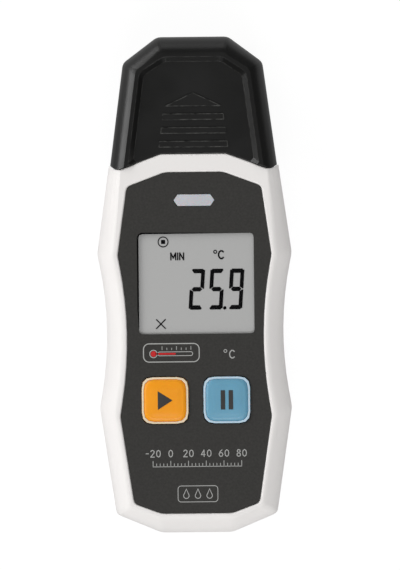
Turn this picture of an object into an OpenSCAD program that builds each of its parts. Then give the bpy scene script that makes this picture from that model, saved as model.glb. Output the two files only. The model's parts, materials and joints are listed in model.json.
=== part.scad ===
// Pocket temperature logger with a data plug under a pull-off cap.
// It lies on its flat back: X runs across, Y towards the cap, Z up to the display.
// Heights named _h are measured along Y from the bottom edge of the case.

/* [Case outline] */
// Overall length with the cap on
total_len = 98; // [95:0.5:104]
// Width of the flat bottom edge
toe_w = 14; // [10:0.1:18]
// Width across the bottom corners
foot_w = 31.8; // [31:0.1:33.5]
// Width across the tips of the lower bulge, before they are rounded
low_bulge_w = 38; // [37:0.1:40]
// Width that the straight runs into the waist aim at
waist_w = 32.5; // [32:0.1:35]
// Width across the tips of the upper bulge, before they are rounded
high_bulge_w = 38.5; // [37:0.1:40]
// Width of the case where it meets the cap
shoulder_w = 33.8; // [33.4:0.1:35]
// Height of the bottom corners
foot_h = 3.7; // [3:0.1:4.6]
// Height of the lower bulge
low_bulge_h = 24.7; // [23:0.1:27]
// Height of the waist
waist_h = 40.7; // [38:0.1:42]
// Height of the upper bulge
high_bulge_h = 55.2; // [53:0.1:57]
// Height of the lowest stretches of the seam
seam_h = 71.8; // [71.6:0.1:72.6]
// How much higher the seam runs in the middle
seam_rise = 3; // [2.4:0.1:3.2]
// Width between the knees of the seam
seam_knee_w = 29.2; // [27:0.1:30]
// Width of the level middle of the seam
seam_flat_w = 12.9; // [10:0.1:16]
// Width of the level stretch outside each knee of the seam
seam_foot_w = 1; // [0.9:0.1:1.3]
// Width of the rise at each end of the seam
seam_end_w = 1; // [0.9:0.1:1.4]
// How much higher the seam runs at its ends
seam_end_rise = 0.8; // [0.4:0.1:1]
// Distance from a corner of the seam at which its rounding starts
seam_cut = 0.4; // [0.2:0.1:0.4]
// Distance from a bulge's tip at which its rounding starts
bulge_cut = 0.8; // [0.4:0.1:1.4]
// Share of the run from the waist to a bulge that the waist's curve takes up
waist_share = 0.87; // [0.5:0.01:0.9]
// Distance from a corner at which its rounding starts
corner_cut = 0.8; // [0.3:0.1:1.2]

/* [Case shell] */
// Thickness from the back to the rim of the front
case_t = 17; // [16.8:0.1:19]
// Side wall
wall = 1.8; // [1.5:0.1:2]
// Front wall under the panel
front_wall = 1.7; // [1.4:0.1:1.9]
// Back wall
rear_wall = 1.8; // [1.6:0.1:2]
// Height of the rounded flank of the front
front_roll_h = 7; // [5:0.1:7.5]
// Height of the rounded flank of the back
rear_roll_h = 5; // [4:0.1:6]
// Width of the rounded flank of the back
rear_roll_w = 2.6; // [1.5:0.1:2.8]
// Rim left round the panel
lip_w = 0.6; // [0.4:0.1:0.8]
// Depth of the pocket that holds the panel
pocket_d = 0.5; // [0.45:0.05:0.7]
// Width of the seal between the shells
gasket_w = 0.8; // [0.6:0.1:0.9]
// Thickness of the seal between the shells
gasket_t = 0.6; // [0.4:0.1:0.9]
// Distance from the outside to the seal between the shells
gasket_in = 0.5; // [0.4:0.1:0.6]
// Width of the bare field on the back
field_w = 22; // [16:0.5:24]
// Length of the bare field on the back
field_l = 15; // [10:0.5:17]
// Depth of the bare field on the back
field_d = 0.2; // [0.1:0.05:0.4]
// Height of the middle of the bare field
field_h = 51; // [49:0.5:53]

/* [Cap] */
// Width of the cap where it meets the case
seam_w = 33.2; // [32.8:0.1:33.6]
// Width across the cap's shoulders
cap_shoulder_w = 27.6; // [26.8:0.1:29]
// Distance from the cap's end to its shoulders
cap_shoulder_drop = 5.1; // [4:0.1:5.6]
// Width of the cap's flat end
cap_top_w = 14; // [12:0.1:16]
// Wall of the cap
cap_wall = 1.6; // [1.4:0.1:1.7]
// How far the cap's ridge stands above the case
cap_rise = 0.6; // [0.5:0.1:1]
// Depth of the cap's recessed face below its ridge
cap_recess_d = 0.9; // [0.6:0.1:1]
// Width of the cap's sloping flank
cap_flank_w = 2.7; // [2.2:0.1:3]
// Extra width of that flank at the cap's end
cap_end_extra = 0.5; // [0.3:0.1:0.8]
// Height of the cap's sloping flank
cap_flank_h = 4.2; // [3:0.1:5]
// Width of the ridge
land_w = 0.8; // [0.5:0.1:1]
// Width of the slope from the ridge down to the recessed face
recess_slope_w = 0.9; // [0.6:0.1:1.1]
// Width of the arrow
arrow_w = 11; // [9:0.1:12]
// Length of the arrow
arrow_l = 2.6; // [2:0.1:3.2]
// Distance from the cap's end to the arrow's tip
arrow_drop = 11.1; // [10:0.1:12]
// Number of grip bars
bar_count = 3; // [1:1:3]
// Width of the first grip bar
bar_w = 11.9; // [10:0.1:13]
// How much wider each next grip bar is
bar_step_w = 0.7; // [0:0.1:1]
// Length of a grip bar along the cap
bar_l = 1.15; // [0.8:0.05:1.5]
// Distance between grip bars
bar_pitch = 2.7; // [2.2:0.1:2.8]
// Height of the arrow and the bars above the recessed face
grip_t = 0.35; // [0.2:0.05:0.5]
// How far the neck reaches into the cap past the middle of the seam
neck_reach = 3; // [2.8:0.1:3.6]
// Wall of the neck
neck_wall = 1.6; // [1.4:0.1:1.8]
// Length of the cap's seal
seal_l = 1.2; // [0.8:0.1:1.3]
// Depth of the seal's groove
seal_d = 0.7; // [0.5:0.1:0.9]
// How far the seal stands out of its groove
seal_proud = 0.2; // [0.1:0.05:0.2]

/* [Panel] */
// Thickness of the panel
panel_t = 0.4; // [0.3:0.05:0.4]
// Width of the panel's bottom edge
panel_toe_w = 14; // [11:0.1:16]
// Width across the panel's bottom corners
panel_foot_w = 24.7; // [23:0.1:26]
// Width across the panel's lower bulge
panel_low_w = 29.8; // [28:0.1:31]
// Width that the panel's waist aims at
panel_waist_w = 24.6; // [24.2:0.1:27]
// Width across the panel's upper bulge
panel_high_w = 30.3; // [28:0.1:31]
// Width across the panel's shoulders
panel_shoulder_w = 26.5; // [24:0.1:27.2]
// Width of the panel's top edge
panel_top_w = 11.5; // [10:0.1:14]
// Height of the panel's bottom edge
panel_toe_h = 3.9; // [3.7:0.1:4.6]
// Height of the panel's bottom corners
panel_foot_h = 5.9; // [5.6:0.1:7]
// Height of the panel's lower bulge
panel_low_h = 23.1; // [22:0.1:25]
// Height of the panel's waist
panel_waist_h = 39.6; // [38:0.1:41.5]
// Height of the panel's upper bulge
panel_high_h = 54.9; // [53:0.1:57]
// Height of the panel's shoulders
panel_shoulder_h = 68.4; // [68:0.1:69]
// Height of the panel's top edge
panel_top_h = 71.2; // [70.8:0.1:71.6]

/* [Display] */
// Width of the display window
view_w = 22.8; // [20:0.1:23.4]
// Length of the display window
view_l = 19.8; // [17:0.1:20.4]
// Height of the middle of the display
view_h = 49.2; // [49:0.1:49.8]
// How far the display lies to the right of the middle
view_x = 0.3; // [-0.4:0.1:0.4]
// Corner of the display window
view_cut = 0.8; // [0.4:0.1:1.5]
// Thickness of the clear window
window_t = 0.35; // [0.3:0.05:0.4]
// Width of the display glass
glass_w = 24.6; // [24.2:0.1:24.8]
// Length of the display glass
glass_l = 22.4; // [21.8:0.1:22.6]
// Thickness of the display glass
glass_t = 2.2; // [1.8:0.1:2.4]
// Wall of the display frame
frame_w = 0.8; // [0.6:0.1:0.9]
// Ledge that carries the display glass
ledge_w = 0.7; // [0.4:0.1:1]
// Width of a connector strip
strip_w = 1.8; // [1.2:0.1:2.4]

/* [Keys] */
// Width of a key over its pale rim
key_w = 9.2; // [8.6:0.1:9.6]
// Corner of a key
key_cut = 2.2; // [1.4:0.1:2.6]
// Width of the pale rim
key_rim_w = 0.42; // [0.3:0.02:0.6]
// Distance between the middles of the keys
key_pitch = 12.2; // [12:0.1:12.6]
// Height of the middles of the keys
key_h = 26.2; // [25.8:0.1:26.6]
// How far a key stands above the rim of the case
key_proud = 0.7; // [0.6:0.05:0.9]
// How far the pale rim stands above the rim of the case
rim_proud = 0.25; // [0.2:0.05:0.4]
// Height of the rounded edge of a key
key_roll_h = 0.55; // [0.3:0.05:0.6]
// Width of the rounded edge of a key
key_roll_w = 0.7; // [0.4:0.05:0.9]
// Width of the flange that keeps a key in
key_flange_w = 0.6; // [0.4:0.05:0.65]
// Thickness of that flange
key_flange_t = 0.7; // [0.5:0.05:0.8]
// Travel of a key
key_travel = 0.4; // [0.2:0.05:0.4]
// Thickness of the mark on a key
mark_t = 0.06; // [0.04:0.01:0.1]
// Width of the start mark
play_w = 2.9; // [2:0.1:3.6]
// Length of the start mark
play_l = 3.7; // [2.6:0.1:4.6]
// Width of a bar of the stop mark
pause_w = 0.88; // [0.6:0.02:1.2]
// Length of a bar of the stop mark
pause_l = 3.8; // [2.6:0.1:4.6]
// Distance between the bars of the stop mark
pause_pitch = 1.56; // [1.4:0.02:2]
// Width of the silicone frame on both sides of the keys together
web_w = 1; // [0.8:0.1:1.2]
// Width of a push switch
switch_w = 6; // [5:0.1:6.4]
// Height of a push switch's body
switch_t = 1.3; // [1.1:0.05:1.35]
// Diameter of a push switch's button
button_d = 3.2; // [2.4:0.1:3.6]
// Length of a push switch's button inside the body
button_in = 0.55; // [0.4:0.05:0.6]

/* [Status light] */
// Width of the light window from tip to tip
light_w = 8.1; // [7:0.1:8.6]
// Width of the light window's straight edges
light_flat_w = 6.5; // [5:0.1:6.9]
// Length of the light window
light_l = 2.3; // [1.8:0.1:2.5]
// Height of the middle of the light window
light_h = 65.7; // [65.4:0.1:66.2]
// Flange that keeps the light guide in
light_flange_w = 0.6; // [0.4:0.05:0.8]
// Thickness of that flange
light_flange_t = 0.8; // [0.5:0.05:0.9]
// Width of a lamp
led_w = 1.6; // [1:0.1:2]
// Length of a lamp
led_l = 0.8; // [0.6:0.1:1.2]
// Height of a lamp
led_t = 0.7; // [0.5:0.05:0.8]
// Distance between the two lamps
led_pitch = 3.6; // [2.6:0.1:4.2]

/* [Circuit board] */
// Thickness of the board
board_t = 1.2; // [1:0.1:1.3]
// Width of the board
board_w = 27.8; // [27.6:0.1:28.4]
// Width of the tongue that carries the temperature sensor
board_tongue_w = 6; // [5:0.1:8]
// Height of the board's lower edge
board_low_h = 13; // [12.6:0.1:14]
// Height of the tongue's lower end
board_tongue_h = 6.6; // [6:0.1:8]
// Width of the main chip
chip_w = 7; // [5:0.1:8]
// Thickness of the main chip
chip_t = 1.2; // [0.9:0.1:1.4]
// Height of the middle of the main chip
chip_h = 48; // [46:0.1:50]
// Width of the memory chip
memory_w = 5; // [4:0.1:5.4]
// Length of the memory chip
memory_l = 4; // [3:0.1:5]
// Distance of the memory chip and the crystal from the middle
side_part_x = 8.4; // [7.4:0.1:9.4]
// Height of the middles of the memory chip and the crystal
side_part_h = 57; // [54:0.1:58]
// Diameter of the clock crystal
crystal_d = 2; // [1.6:0.1:2.4]
// Length of the clock crystal
crystal_l = 6; // [5:0.1:6.4]
// Width of the temperature sensor
sensor_w = 1.6; // [1.2:0.1:2.4]
// Length of the temperature sensor
sensor_l = 1.2; // [0.8:0.1:1.6]
// Thickness of the temperature sensor
sensor_t = 0.7; // [0.5:0.1:1]

/* [Plug] */
// Width of the plug's shell
plug_w = 12; // [11.9:0.05:12.1]
// Thickness of the plug's shell
plug_t = 4.5; // [4.4:0.05:4.6]
// Corner of the plug's shell
plug_cut = 0.5; // [0.45:0.05:0.7]
// Sheet thickness of the plug's shell
plug_sheet = 0.3; // [0.25:0.01:0.35]
// How far the plug stands out of the neck
plug_reach = 17.8; // [16:0.1:18]
// Length of the plug inside the neck
plug_root = 7; // [5:0.1:8]
// Thickness of the plug's tongue
tongue_t = 1.84; // [1.7:0.02:1.9]
// Width of the plug's tongue
tongue_w = 11; // [10.6:0.1:11.2]
// Length of the solid base of the tongue
tongue_base_l = 9; // [8:0.1:10]
// Side of a square latch window in the plug's shell
latch_w = 2.2; // [1.8:0.1:2.4]
// Distance from the middle of the plug to its latch windows
latch_x = 2.9; // [2.7:0.1:3.2]
// Distance from the plug's end to its latch windows
latch_drop = 5.2; // [4.8:0.1:5.6]
// Width of a contact
contact_w = 1; // [0.8:0.05:1.1]
// Thickness of a contact
contact_t = 0.15; // [0.1:0.01:0.2]
// Length of a contact
contact_l = 7.5; // [6:0.1:8]
// Places of the four contacts across the plug
contact_x = [-3.5, -1, 1, 3.5];

/* [Battery] */
// Diameter of the coin cell
cell_d = 20; // [19.8:0.1:20.2]
// Thickness of the coin cell
cell_t = 3.2; // [3:0.1:3.4]
// Step between the cell's can and its lid, across and along
cell_step = 0.5; // [0.3:0.1:0.7]
// Wall of the battery holder
holder_wall = 1; // [0.8:0.1:1.2]
// Thickness of the battery holder's plate
holder_plate_t = 1; // [0.8:0.1:1.2]
// Sheet thickness of the battery contacts
spring_t = 0.25; // [0.2:0.01:0.25]
// Width of the battery contacts
spring_w = 2.4; // [1.8:0.1:2.4]
// Length of the battery contacts' solder pads
spring_pad_l = 2.6; // [2:0.1:3]
// How far the minus contact's arm runs across the cell
spring_arm = 4; // [3:0.1:4.6]

/* [Battery door] */
// Height of the middle of the battery door
door_h = 26.3; // [25.8:0.1:27]
// How far the door lies inside the back
door_in = 0.2; // [0.1:0.05:0.3]
// Thickness of the door's rim
door_rim_t = 0.9; // [0.8:0.05:1]
// Width of the door's rim outside its hub
door_rim_w = 1.4; // [1.2:0.1:1.6]
// Thickness of the door's floor
door_floor_t = 1.5; // [1.3:0.1:1.6]
// Wall of the door's hub
hub_wall = 0.7; // [0.6:0.05:0.8]
// How far a door lug stands out
lug_w = 1.1; // [0.9:0.05:1.2]
// Thickness of a door lug
lug_t = 1; // [0.8:0.05:1.1]
// Angle that a door lug covers
lug_turn = 30; // [20:1:36]
// Number of door lugs
lug_count = 3; // [2:1:3]
// Angle that the door turns to unlock
door_turn = 45; // [40:1:50]
// Thickness of the ledge that the lugs hold
ledge_t = 0.9; // [0.8:0.05:1]
// Thickness of the door's flat seal
door_seal_t = 0.4; // [0.3:0.05:0.45]
// Wall of the ring round the door
ring_wall = 1.6; // [1.2:0.1:1.8]
// Length of the coin slot
slot_l = 14; // [10:0.1:15]
// Width of the coin slot
slot_w = 1.9; // [1.4:0.1:2.4]
// Depth of the coin slot
slot_d = 0.8; // [0.5:0.05:0.9]

/* [Screws] */
// Distance of the lower case screws from the middle
low_screw_x = 11.2; // [10.8:0.1:11.4]
// Height of the lower case screws
low_screw_h = 8.7; // [8.5:0.1:9]
// Distance of the upper case screws from the middle
high_screw_x = 12.2; // [12.1:0.1:12.4]
// Height of the upper case screws
high_screw_h = 66.4; // [65.8:0.1:66.6]
// Diameter of a case screw's head
screw_head_d = 3.8; // [3.4:0.1:3.9]
// Diameter of a case screw's thread
screw_d = 2; // [1.8:0.1:2.1]
// Height of a case screw's head
screw_head_t = 1.4; // [1:0.1:1.5]
// Length of a case screw under its head
screw_l = 10.5; // [9:0.1:11]
// How deep a case screw's head lies in the back
screw_in = 0.5; // [0.3:0.1:0.8]
// Wall of a screw boss
boss_wall = 1.3; // [1:0.1:1.4]
// Distance of the upper board screws from the middle
high_post_x = 7.5; // [7.3:0.1:7.6]
// Height of the upper board screws
high_post_h = 63.9; // [63.8:0.1:64]
// Distance of the lower board screws from the middle
low_post_x = 11.5; // [11.2:0.1:11.7]
// Height of the lower board screws
low_post_h = 34.4; // [34.3:0.1:34.6]
// Diameter of a board post
post_d = 3.4; // [3:0.1:3.6]
// Diameter of a board screw's thread
board_screw_d = 1.4; // [1.2:0.1:1.5]
// Diameter of a board screw's head
board_screw_head_d = 2.6; // [2.2:0.1:2.8]
// Height of a board screw's head
board_screw_head_t = 0.8; // [0.6:0.1:1]
// Length of a board screw under its head
board_screw_l = 3.2; // [2.6:0.1:3.4]

/* [Fits] */
// Gap between the cap and the case along the seam
seam_gap = 0.15; // [0.1:0.01:0.3]
// Gap between the cap and the neck
cap_fit = 0.25; // [0.22:0.01:0.3]
// Gap round a key in its opening
key_gap = 0.15; // [0.1:0.01:0.3]
// Gap round the plug in the neck, and between a part and its seat
seat_gap = 0.05; // [0.02:0.01:0.1]
// Gap round a part that is dropped into place
part_gap = 0.3; // [0.2:0.01:0.35]
// Gap on the radius of the battery door
door_gap = 0.2; // [0.1:0.01:0.25]
// Gap on the radius of a screw in its clearance hole
screw_gap = 0.15; // [0.1:0.01:0.2]

/* [Hidden] */

// Overrun of every cut
over = 0.5;
// Facets of round parts
$fn = 48;
// Turn of the rounded flanks, and the number of steps that draws them
roll_turn = 72;
roll_steps = 6;
// Numbers of steps in a corner, a bulge and the waist
corner_steps = 3;
bulge_steps = 4;
waist_steps = 8;

// Levels, from the back up
split_z = case_t / 2;
plug_z = case_t / 2;
pocket_z = case_t - pocket_d;
front_in_z = pocket_z - front_wall;
cap_ridge_z = case_t + cap_rise;
cap_face_z = cap_ridge_z - cap_recess_d;
cap_in_z = cap_face_z - cap_wall;
neck_low_z = cap_wall + cap_fit;
neck_top_z = cap_in_z - cap_fit;
board_z = plug_z + plug_t / 2 + seat_gap;
board_top_z = board_z + board_t;
tongue_z = plug_z + plug_t / 2 - plug_sheet - seat_gap - tongue_t;
led_top_z = board_top_z + led_t;
glass_top_z = pocket_z - 2 * seat_gap;
glass_z = glass_top_z - glass_t;
switch_top_z = board_top_z + switch_t;
key_z = switch_top_z + key_travel + 2 * seat_gap;
key_top_z = case_t + key_proud;
rim_top_z = case_t + rim_proud;
flange_top_z = front_in_z - seat_gap;
door_floor_z = door_in + door_floor_t;
cell_z = door_floor_z + seat_gap;
cell_top_z = cell_z + cell_t;
ledge_z = door_in + door_rim_t + door_seal_t + seat_gap;
lug_z = ledge_z + ledge_t + seat_gap;
hub_top_z = lug_z + lug_t;
ring_top_z = hub_top_z + part_gap;
holder_z = cell_top_z + part_gap;
screw_seat_z = screw_in + screw_head_t;

// Places along the cap, the neck and the plug
arrow_base_h = total_len - arrow_drop - arrow_l;
neck_top_h = seam_h + seam_rise + neck_reach;
plug_base_h = neck_top_h - plug_root;
plug_top_h = neck_top_h + plug_reach;
board_top_h = neck_top_h - neck_wall - part_gap;
seal_top_h = neck_top_h - seal_l;
hidden_h = neck_top_h + neck_reach;

// Battery and door radii
cell_r = cell_d / 2;
hub_in_r = cell_r + part_gap;
hub_r = hub_in_r + hub_wall;
door_r = hub_r + door_rim_w;
lug_r = hub_r + lug_w;
bore_r = hub_r + door_gap;
well_r = door_r + door_gap;
ring_r = well_r + ring_wall;
holder_in_r = cell_r + part_gap + door_gap;
holder_r = holder_in_r + holder_wall;
// Direction of the first lug
lug_start = 90 / lug_count;
// Inner face of the plus contact's leg
plus_x = cell_r + seat_gap / 2;

// A key's coloured part inside its pale rim, and its flange
key_in_w = key_w - 2 * key_rim_w;
key_in_cut = key_cut - key_rim_w / 2;
key_roof_w = key_in_w - 2 * key_roll_w;
flange_w = key_w + 2 * key_flange_w;
flange_z = flange_top_z - key_flange_t;

// Screw radii
boss_r = screw_head_d / 2 + screw_gap + boss_wall / 2;
screw_clear_r = screw_d / 2 + screw_gap;
pilot_r = screw_d / 2 + seat_gap;
post_pilot_r = board_screw_d / 2 + seat_gap;

// The board narrows where it passes between the upper screw bosses
board_neck_w = 2 * (high_screw_x - boss_r - part_gap);
board_neck_h = high_screw_h - boss_r - part_gap;

case_screws = [[low_screw_x, low_screw_h], [-low_screw_x, low_screw_h],
    [high_screw_x, high_screw_h], [-high_screw_x, high_screw_h]];
posts = [[low_post_x, low_post_h], [-low_post_x, low_post_h],
    [high_post_x, high_post_h], [-high_post_x, high_post_h]];

// Direction of a vector
function unit(v) = v / norm(v);

// Outward side of the edge from a to b, on an outline that runs anticlockwise
function outward(a, b) = let (d = unit(b - a)) [d[1], -d[0]];

// An outline with every edge moved outwards
function grown(pts, by) = [for (i = [0 : len(pts) - 1])
    let (n = len(pts),
        m = outward(pts[(i + n - 1) % n], pts[i]),
        k = outward(pts[i], pts[(i + 1) % n]))
    pts[i] + by * (m + k) / (1 + m * k)];

// An outline with corner i rounded from cuts[i] before it to cuts[i] after it
function rounded(pts, cuts, steps) = [for (i = [0 : len(pts) - 1])
    let (n = len(pts), p = pts[i],
        a = p + cuts[i] * unit(pts[(i + n - 1) % n] - p),
        b = p + cuts[i] * unit(pts[(i + 1) % n] - p))
    for (k = [0 : steps[i]])
        let (t = k / steps[i])
        (1 - t) * (1 - t) * a + 2 * t * (1 - t) * p + t * t * b];

// A right-hand edge, from the bottom up, and its mirror image on the left
function both_sides(right) = concat(right,
    [for (i = [len(right) - 1 : -1 : 0]) [-right[i][0], right[i][1]]]);

// A list and the same list backwards
function there_and_back(list) = concat(list, [for (i = [len(list) - 1 : -1 : 0]) list[i]]);

// The outline a given share of the way from one outline to another
function between(a, b, share) = [for (i = [0 : len(a) - 1]) a[i] + share * (b[i] - a[i])];

// Share of the way in, and share of the way up, at step k of a rounded flank
function way_in(k) = (1 - cos(roll_turn * k / roll_steps)) / (1 - cos(roll_turn));
function way_up(k) = sin(roll_turn * k / roll_steps) / sin(roll_turn);

// A rectangle with rounded corners, about the origin
function box_outline(w, l, cut) = rounded(
    [[w / 2, -l / 2], [w / 2, l / 2], [-w / 2, l / 2], [-w / 2, -l / 2]],
    [for (i = [0 : 3]) cut], [for (i = [0 : 3]) corner_steps]);

// Half widths of the case and the cap on their straight flanks near the seam
function case_half(h) = shoulder_w / 2
    + (high_bulge_w - shoulder_w) / 2 * (seam_h - h) / (seam_h - high_bulge_h);
function cap_half(h) = seam_w / 2
    + (cap_shoulder_w - seam_w) / 2 * (h - seam_h) / (total_len - cap_shoulder_drop - seam_h);

// Distance from the waist, the fourth corner of an outline, at which its curve starts
function waist_cut(pts) = waist_share * min(norm(pts[3] - pts[2]), norm(pts[4] - pts[3]));

// Corners of the case as seen from the front, drawn on past the seam
case_corners = both_sides([[toe_w / 2, 0], [foot_w / 2, foot_h], [low_bulge_w / 2, low_bulge_h],
    [waist_w / 2, waist_h], [high_bulge_w / 2, high_bulge_h], [case_half(hidden_h), hidden_h]]);
case_cuts = there_and_back([corner_cut, corner_cut, bulge_cut, waist_cut(case_corners), bulge_cut,
    corner_cut]);
case_steps = there_and_back([corner_steps, corner_steps, bulge_steps, waist_steps, bulge_steps, 1]);

// Corners of the panel
panel_right = [[panel_toe_w / 2, panel_toe_h], [panel_foot_w / 2, panel_foot_h],
    [panel_low_w / 2, panel_low_h], [panel_waist_w / 2, panel_waist_h],
    [panel_high_w / 2, panel_high_h], [panel_shoulder_w / 2, panel_shoulder_h],
    [panel_top_w / 2, panel_top_h]];
panel_corners = both_sides(panel_right);
panel_cuts = there_and_back([corner_cut, corner_cut, bulge_cut / 2, waist_cut(panel_corners),
    bulge_cut / 2, corner_cut, corner_cut]);
panel_steps = there_and_back([corner_steps, corner_steps, bulge_steps, waist_steps, bulge_steps,
    corner_steps, corner_steps]);

// Corners of the level front: the panel with its rim, drawn on past the seam
rim_corners = grown(panel_corners, lip_w);
face_corners = both_sides([rim_corners[0], rim_corners[1], rim_corners[2], rim_corners[3],
    rim_corners[4], [rim_corners[5][0], hidden_h]]);

// Corners of the cap, drawn on past the seam, and of its ridge
cap_low_h = seam_h - neck_reach;
cap_corners = both_sides([[cap_half(cap_low_h), cap_low_h],
    [cap_shoulder_w / 2, total_len - cap_shoulder_drop], [cap_top_w / 2, total_len]]);
cap_cuts = there_and_back([corner_cut, corner_cut, corner_cut]);
cap_steps = there_and_back([1, corner_steps, corner_steps]);
cap_end_shift = there_and_back([[0, 0], [0, 0], [0, -cap_end_extra]]);
ridge_corners = grown(cap_corners, -cap_flank_w) + cap_end_shift;

function case_outline(by) = rounded(grown(case_corners, by), case_cuts, case_steps);
function face_outline(by) = rounded(grown(face_corners, by), case_cuts, case_steps);
function panel_outline(by) = rounded(grown(panel_corners, by), panel_cuts, panel_steps);
function cap_outline(by) = rounded(grown(cap_corners, by), cap_cuts, cap_steps);
function ridge_outline(by) = rounded(grown(ridge_corners, by), cap_cuts, cap_steps);

// Everything is drawn from the bottom edge up and then centred on the origin
module placed() {
    translate([0, -total_len / 2, 0]) children();
}

// Side of a bent path at its point i, long enough to keep the sheet's thickness in the bend
function bend_side(path, i) =
    let (last = len(path) - 1,
        m = outward(path[max(i - 1, 0)], path[max(i, 1)]),
        k = outward(path[min(i, last - 1)], path[min(i + 1, last)]))
    (m + k) / (1 + m * k);

// The outline of a strip of sheet bent along a path
function strip(path, t) = concat(
    [for (i = [0 : len(path) - 1]) path[i] + t / 2 * bend_side(path, i)],
    [for (i = [len(path) - 1 : -1 : 0]) path[i] - t / 2 * bend_side(path, i)]);

// A flat piece between two levels
module slab(pts, z0, z1) {
    translate([0, 0, z0]) linear_extrude(z1 - z0) polygon(pts);
}

// A rounded rectangular piece between two levels
module block(w, l, cut, z0, z1) {
    slab(box_outline(w, l, cut), z0, z1);
}

// A piece drawn across the case in X and Z, between two heights
module along(h0, h1) {
    translate([0, h1, 0]) rotate([90, 0, 0]) linear_extrude(h1 - h0) children();
}

// A round piece between two levels
module disc(r, z0, z1) {
    translate([0, 0, z0]) cylinder(r = r, h = z1 - z0);
}

// A flat ring between two levels
module ring(outer_r, inner_r, z0, z1) {
    difference() {
        disc(outer_r, z0, z1);
        disc(inner_r, z0 - over, z1 + over);
    }
}

// A closed skin over outlines that lie above each other, each the same on the left and on the right.
// The two level faces are strips from side to side, because a fan of triangles would cross the waist.
module loft(outlines, levels) {
    n = len(outlines[0]);
    top = len(outlines) - 1;
    polyhedron(
        points = [for (r = [0 : top]) for (p = outlines[r]) [p[0], p[1], levels[r]]],
        faces = concat(
            [for (i = [0 : n / 2 - 2]) [i, i + 1, n - 2 - i, n - 1 - i]],
            [for (i = [0 : n / 2 - 2]) [for (k = [n - 1 - i, n - 2 - i, i + 1, i]) top * n + k]],
            [for (r = [0 : top - 1]) for (i = [0 : n - 1])
                [r * n + i, (r + 1) * n + i, (r + 1) * n + (i + 1) % n]],
            [for (r = [0 : top - 1]) for (i = [0 : n - 1])
                [r * n + i, (r + 1) * n + (i + 1) % n, r * n + (i + 1) % n]]));
}

// A solid with an upright side that rolls in to a smaller outline at the top
module rolled_up(side, face, z0, roll_z, z1) {
    loft(concat([side], [for (k = [0 : roll_steps]) between(side, face, way_in(k))]),
        concat([z0], [for (k = [0 : roll_steps]) roll_z + (z1 - roll_z) * way_up(k)]));
}

// The same upside down
module rolled_down(side, face, z0, roll_z, z1) {
    loft(concat([for (k = [roll_steps : -1 : 0]) between(side, face, way_in(k))], [side]),
        concat([for (k = [roll_steps : -1 : 0]) roll_z - (roll_z - z0) * way_up(k)], [z1]));
}

// Corners of the seam, from far outside the case to its level middle
seam_foot_x = seam_knee_w / 2 + seam_foot_w;
seam_corners = both_sides([[2 * high_bulge_w, -total_len], [2 * high_bulge_w, seam_h + seam_end_rise],
    [seam_foot_x + seam_end_w, seam_h + seam_end_rise], [seam_foot_x, seam_h],
    [seam_knee_w / 2, seam_h], [seam_flat_w / 2, seam_h + seam_rise]]);

// Everything below the seam
module below_seam(shift) {
    translate([0, shift, 0]) linear_extrude(3 * case_t, center = true)
        polygon(rounded(seam_corners, [for (p = seam_corners) seam_cut],
            [for (p = seam_corners) corner_steps]));
}

// The neck seen along Y
module neck_outline(by) {
    w = 2 * (cap_half(neck_top_h) - cap_wall - cap_fit) + 2 * by;
    t = neck_top_z - neck_low_z + 2 * by;
    translate([0, (neck_low_z + neck_top_z) / 2])
        polygon(box_outline(w, t, 2 * corner_cut));
}

// The neck that the cap slides over, open to the inside and with a slot for the plug
module neck() {
    difference() {
        along(seam_h - neck_reach, neck_top_h) neck_outline(0);
        along(seam_h - neck_reach - over, neck_top_h - neck_wall) neck_outline(-neck_wall);
        along(seam_h, neck_top_h + over) plug_section(seat_gap);
        difference() {
            along(seal_top_h - seal_l, seal_top_h) neck_outline(over);
            along(seal_top_h - 2 * seal_l, neck_top_h) neck_outline(-seal_d);
        }
    }
}

// The plug seen along Y
module plug_section(by) {
    translate([0, plug_z]) polygon(box_outline(plug_w + 2 * by, plug_t + 2 * by, plug_cut + by));
}

// The two halves of space on either side of the parting plane
module front_half() {
    translate([-total_len, -total_len, split_z]) cube([2 * total_len, 3 * total_len, total_len]);
}

module rear_half() {
    translate([-total_len, -total_len, split_z - total_len])
        cube([2 * total_len, 3 * total_len, total_len]);
}

module at_screws() {
    for (p = case_screws) translate([p[0], p[1], 0]) children();
}

module at_posts() {
    for (p = posts) translate([p[0], p[1], 0]) children();
}

module at_key(side) {
    translate([side * key_pitch / 2, key_h, 0]) children();
}

module at_both_keys() {
    for (side = [-1, 1]) at_key(side) children();
}

module at_door() {
    translate([0, door_h, 0]) children();
}

module at_view() {
    translate([view_x, view_h, 0]) children();
}

function light_outline(by) = grown([[light_w / 2, 0], [light_flat_w / 2, light_l / 2],
    [-light_flat_w / 2, light_l / 2], [-light_w / 2, 0], [-light_flat_w / 2, -light_l / 2],
    [light_flat_w / 2, -light_l / 2]], by);

module at_light() {
    translate([0, light_h, 0]) children();
}

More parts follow.
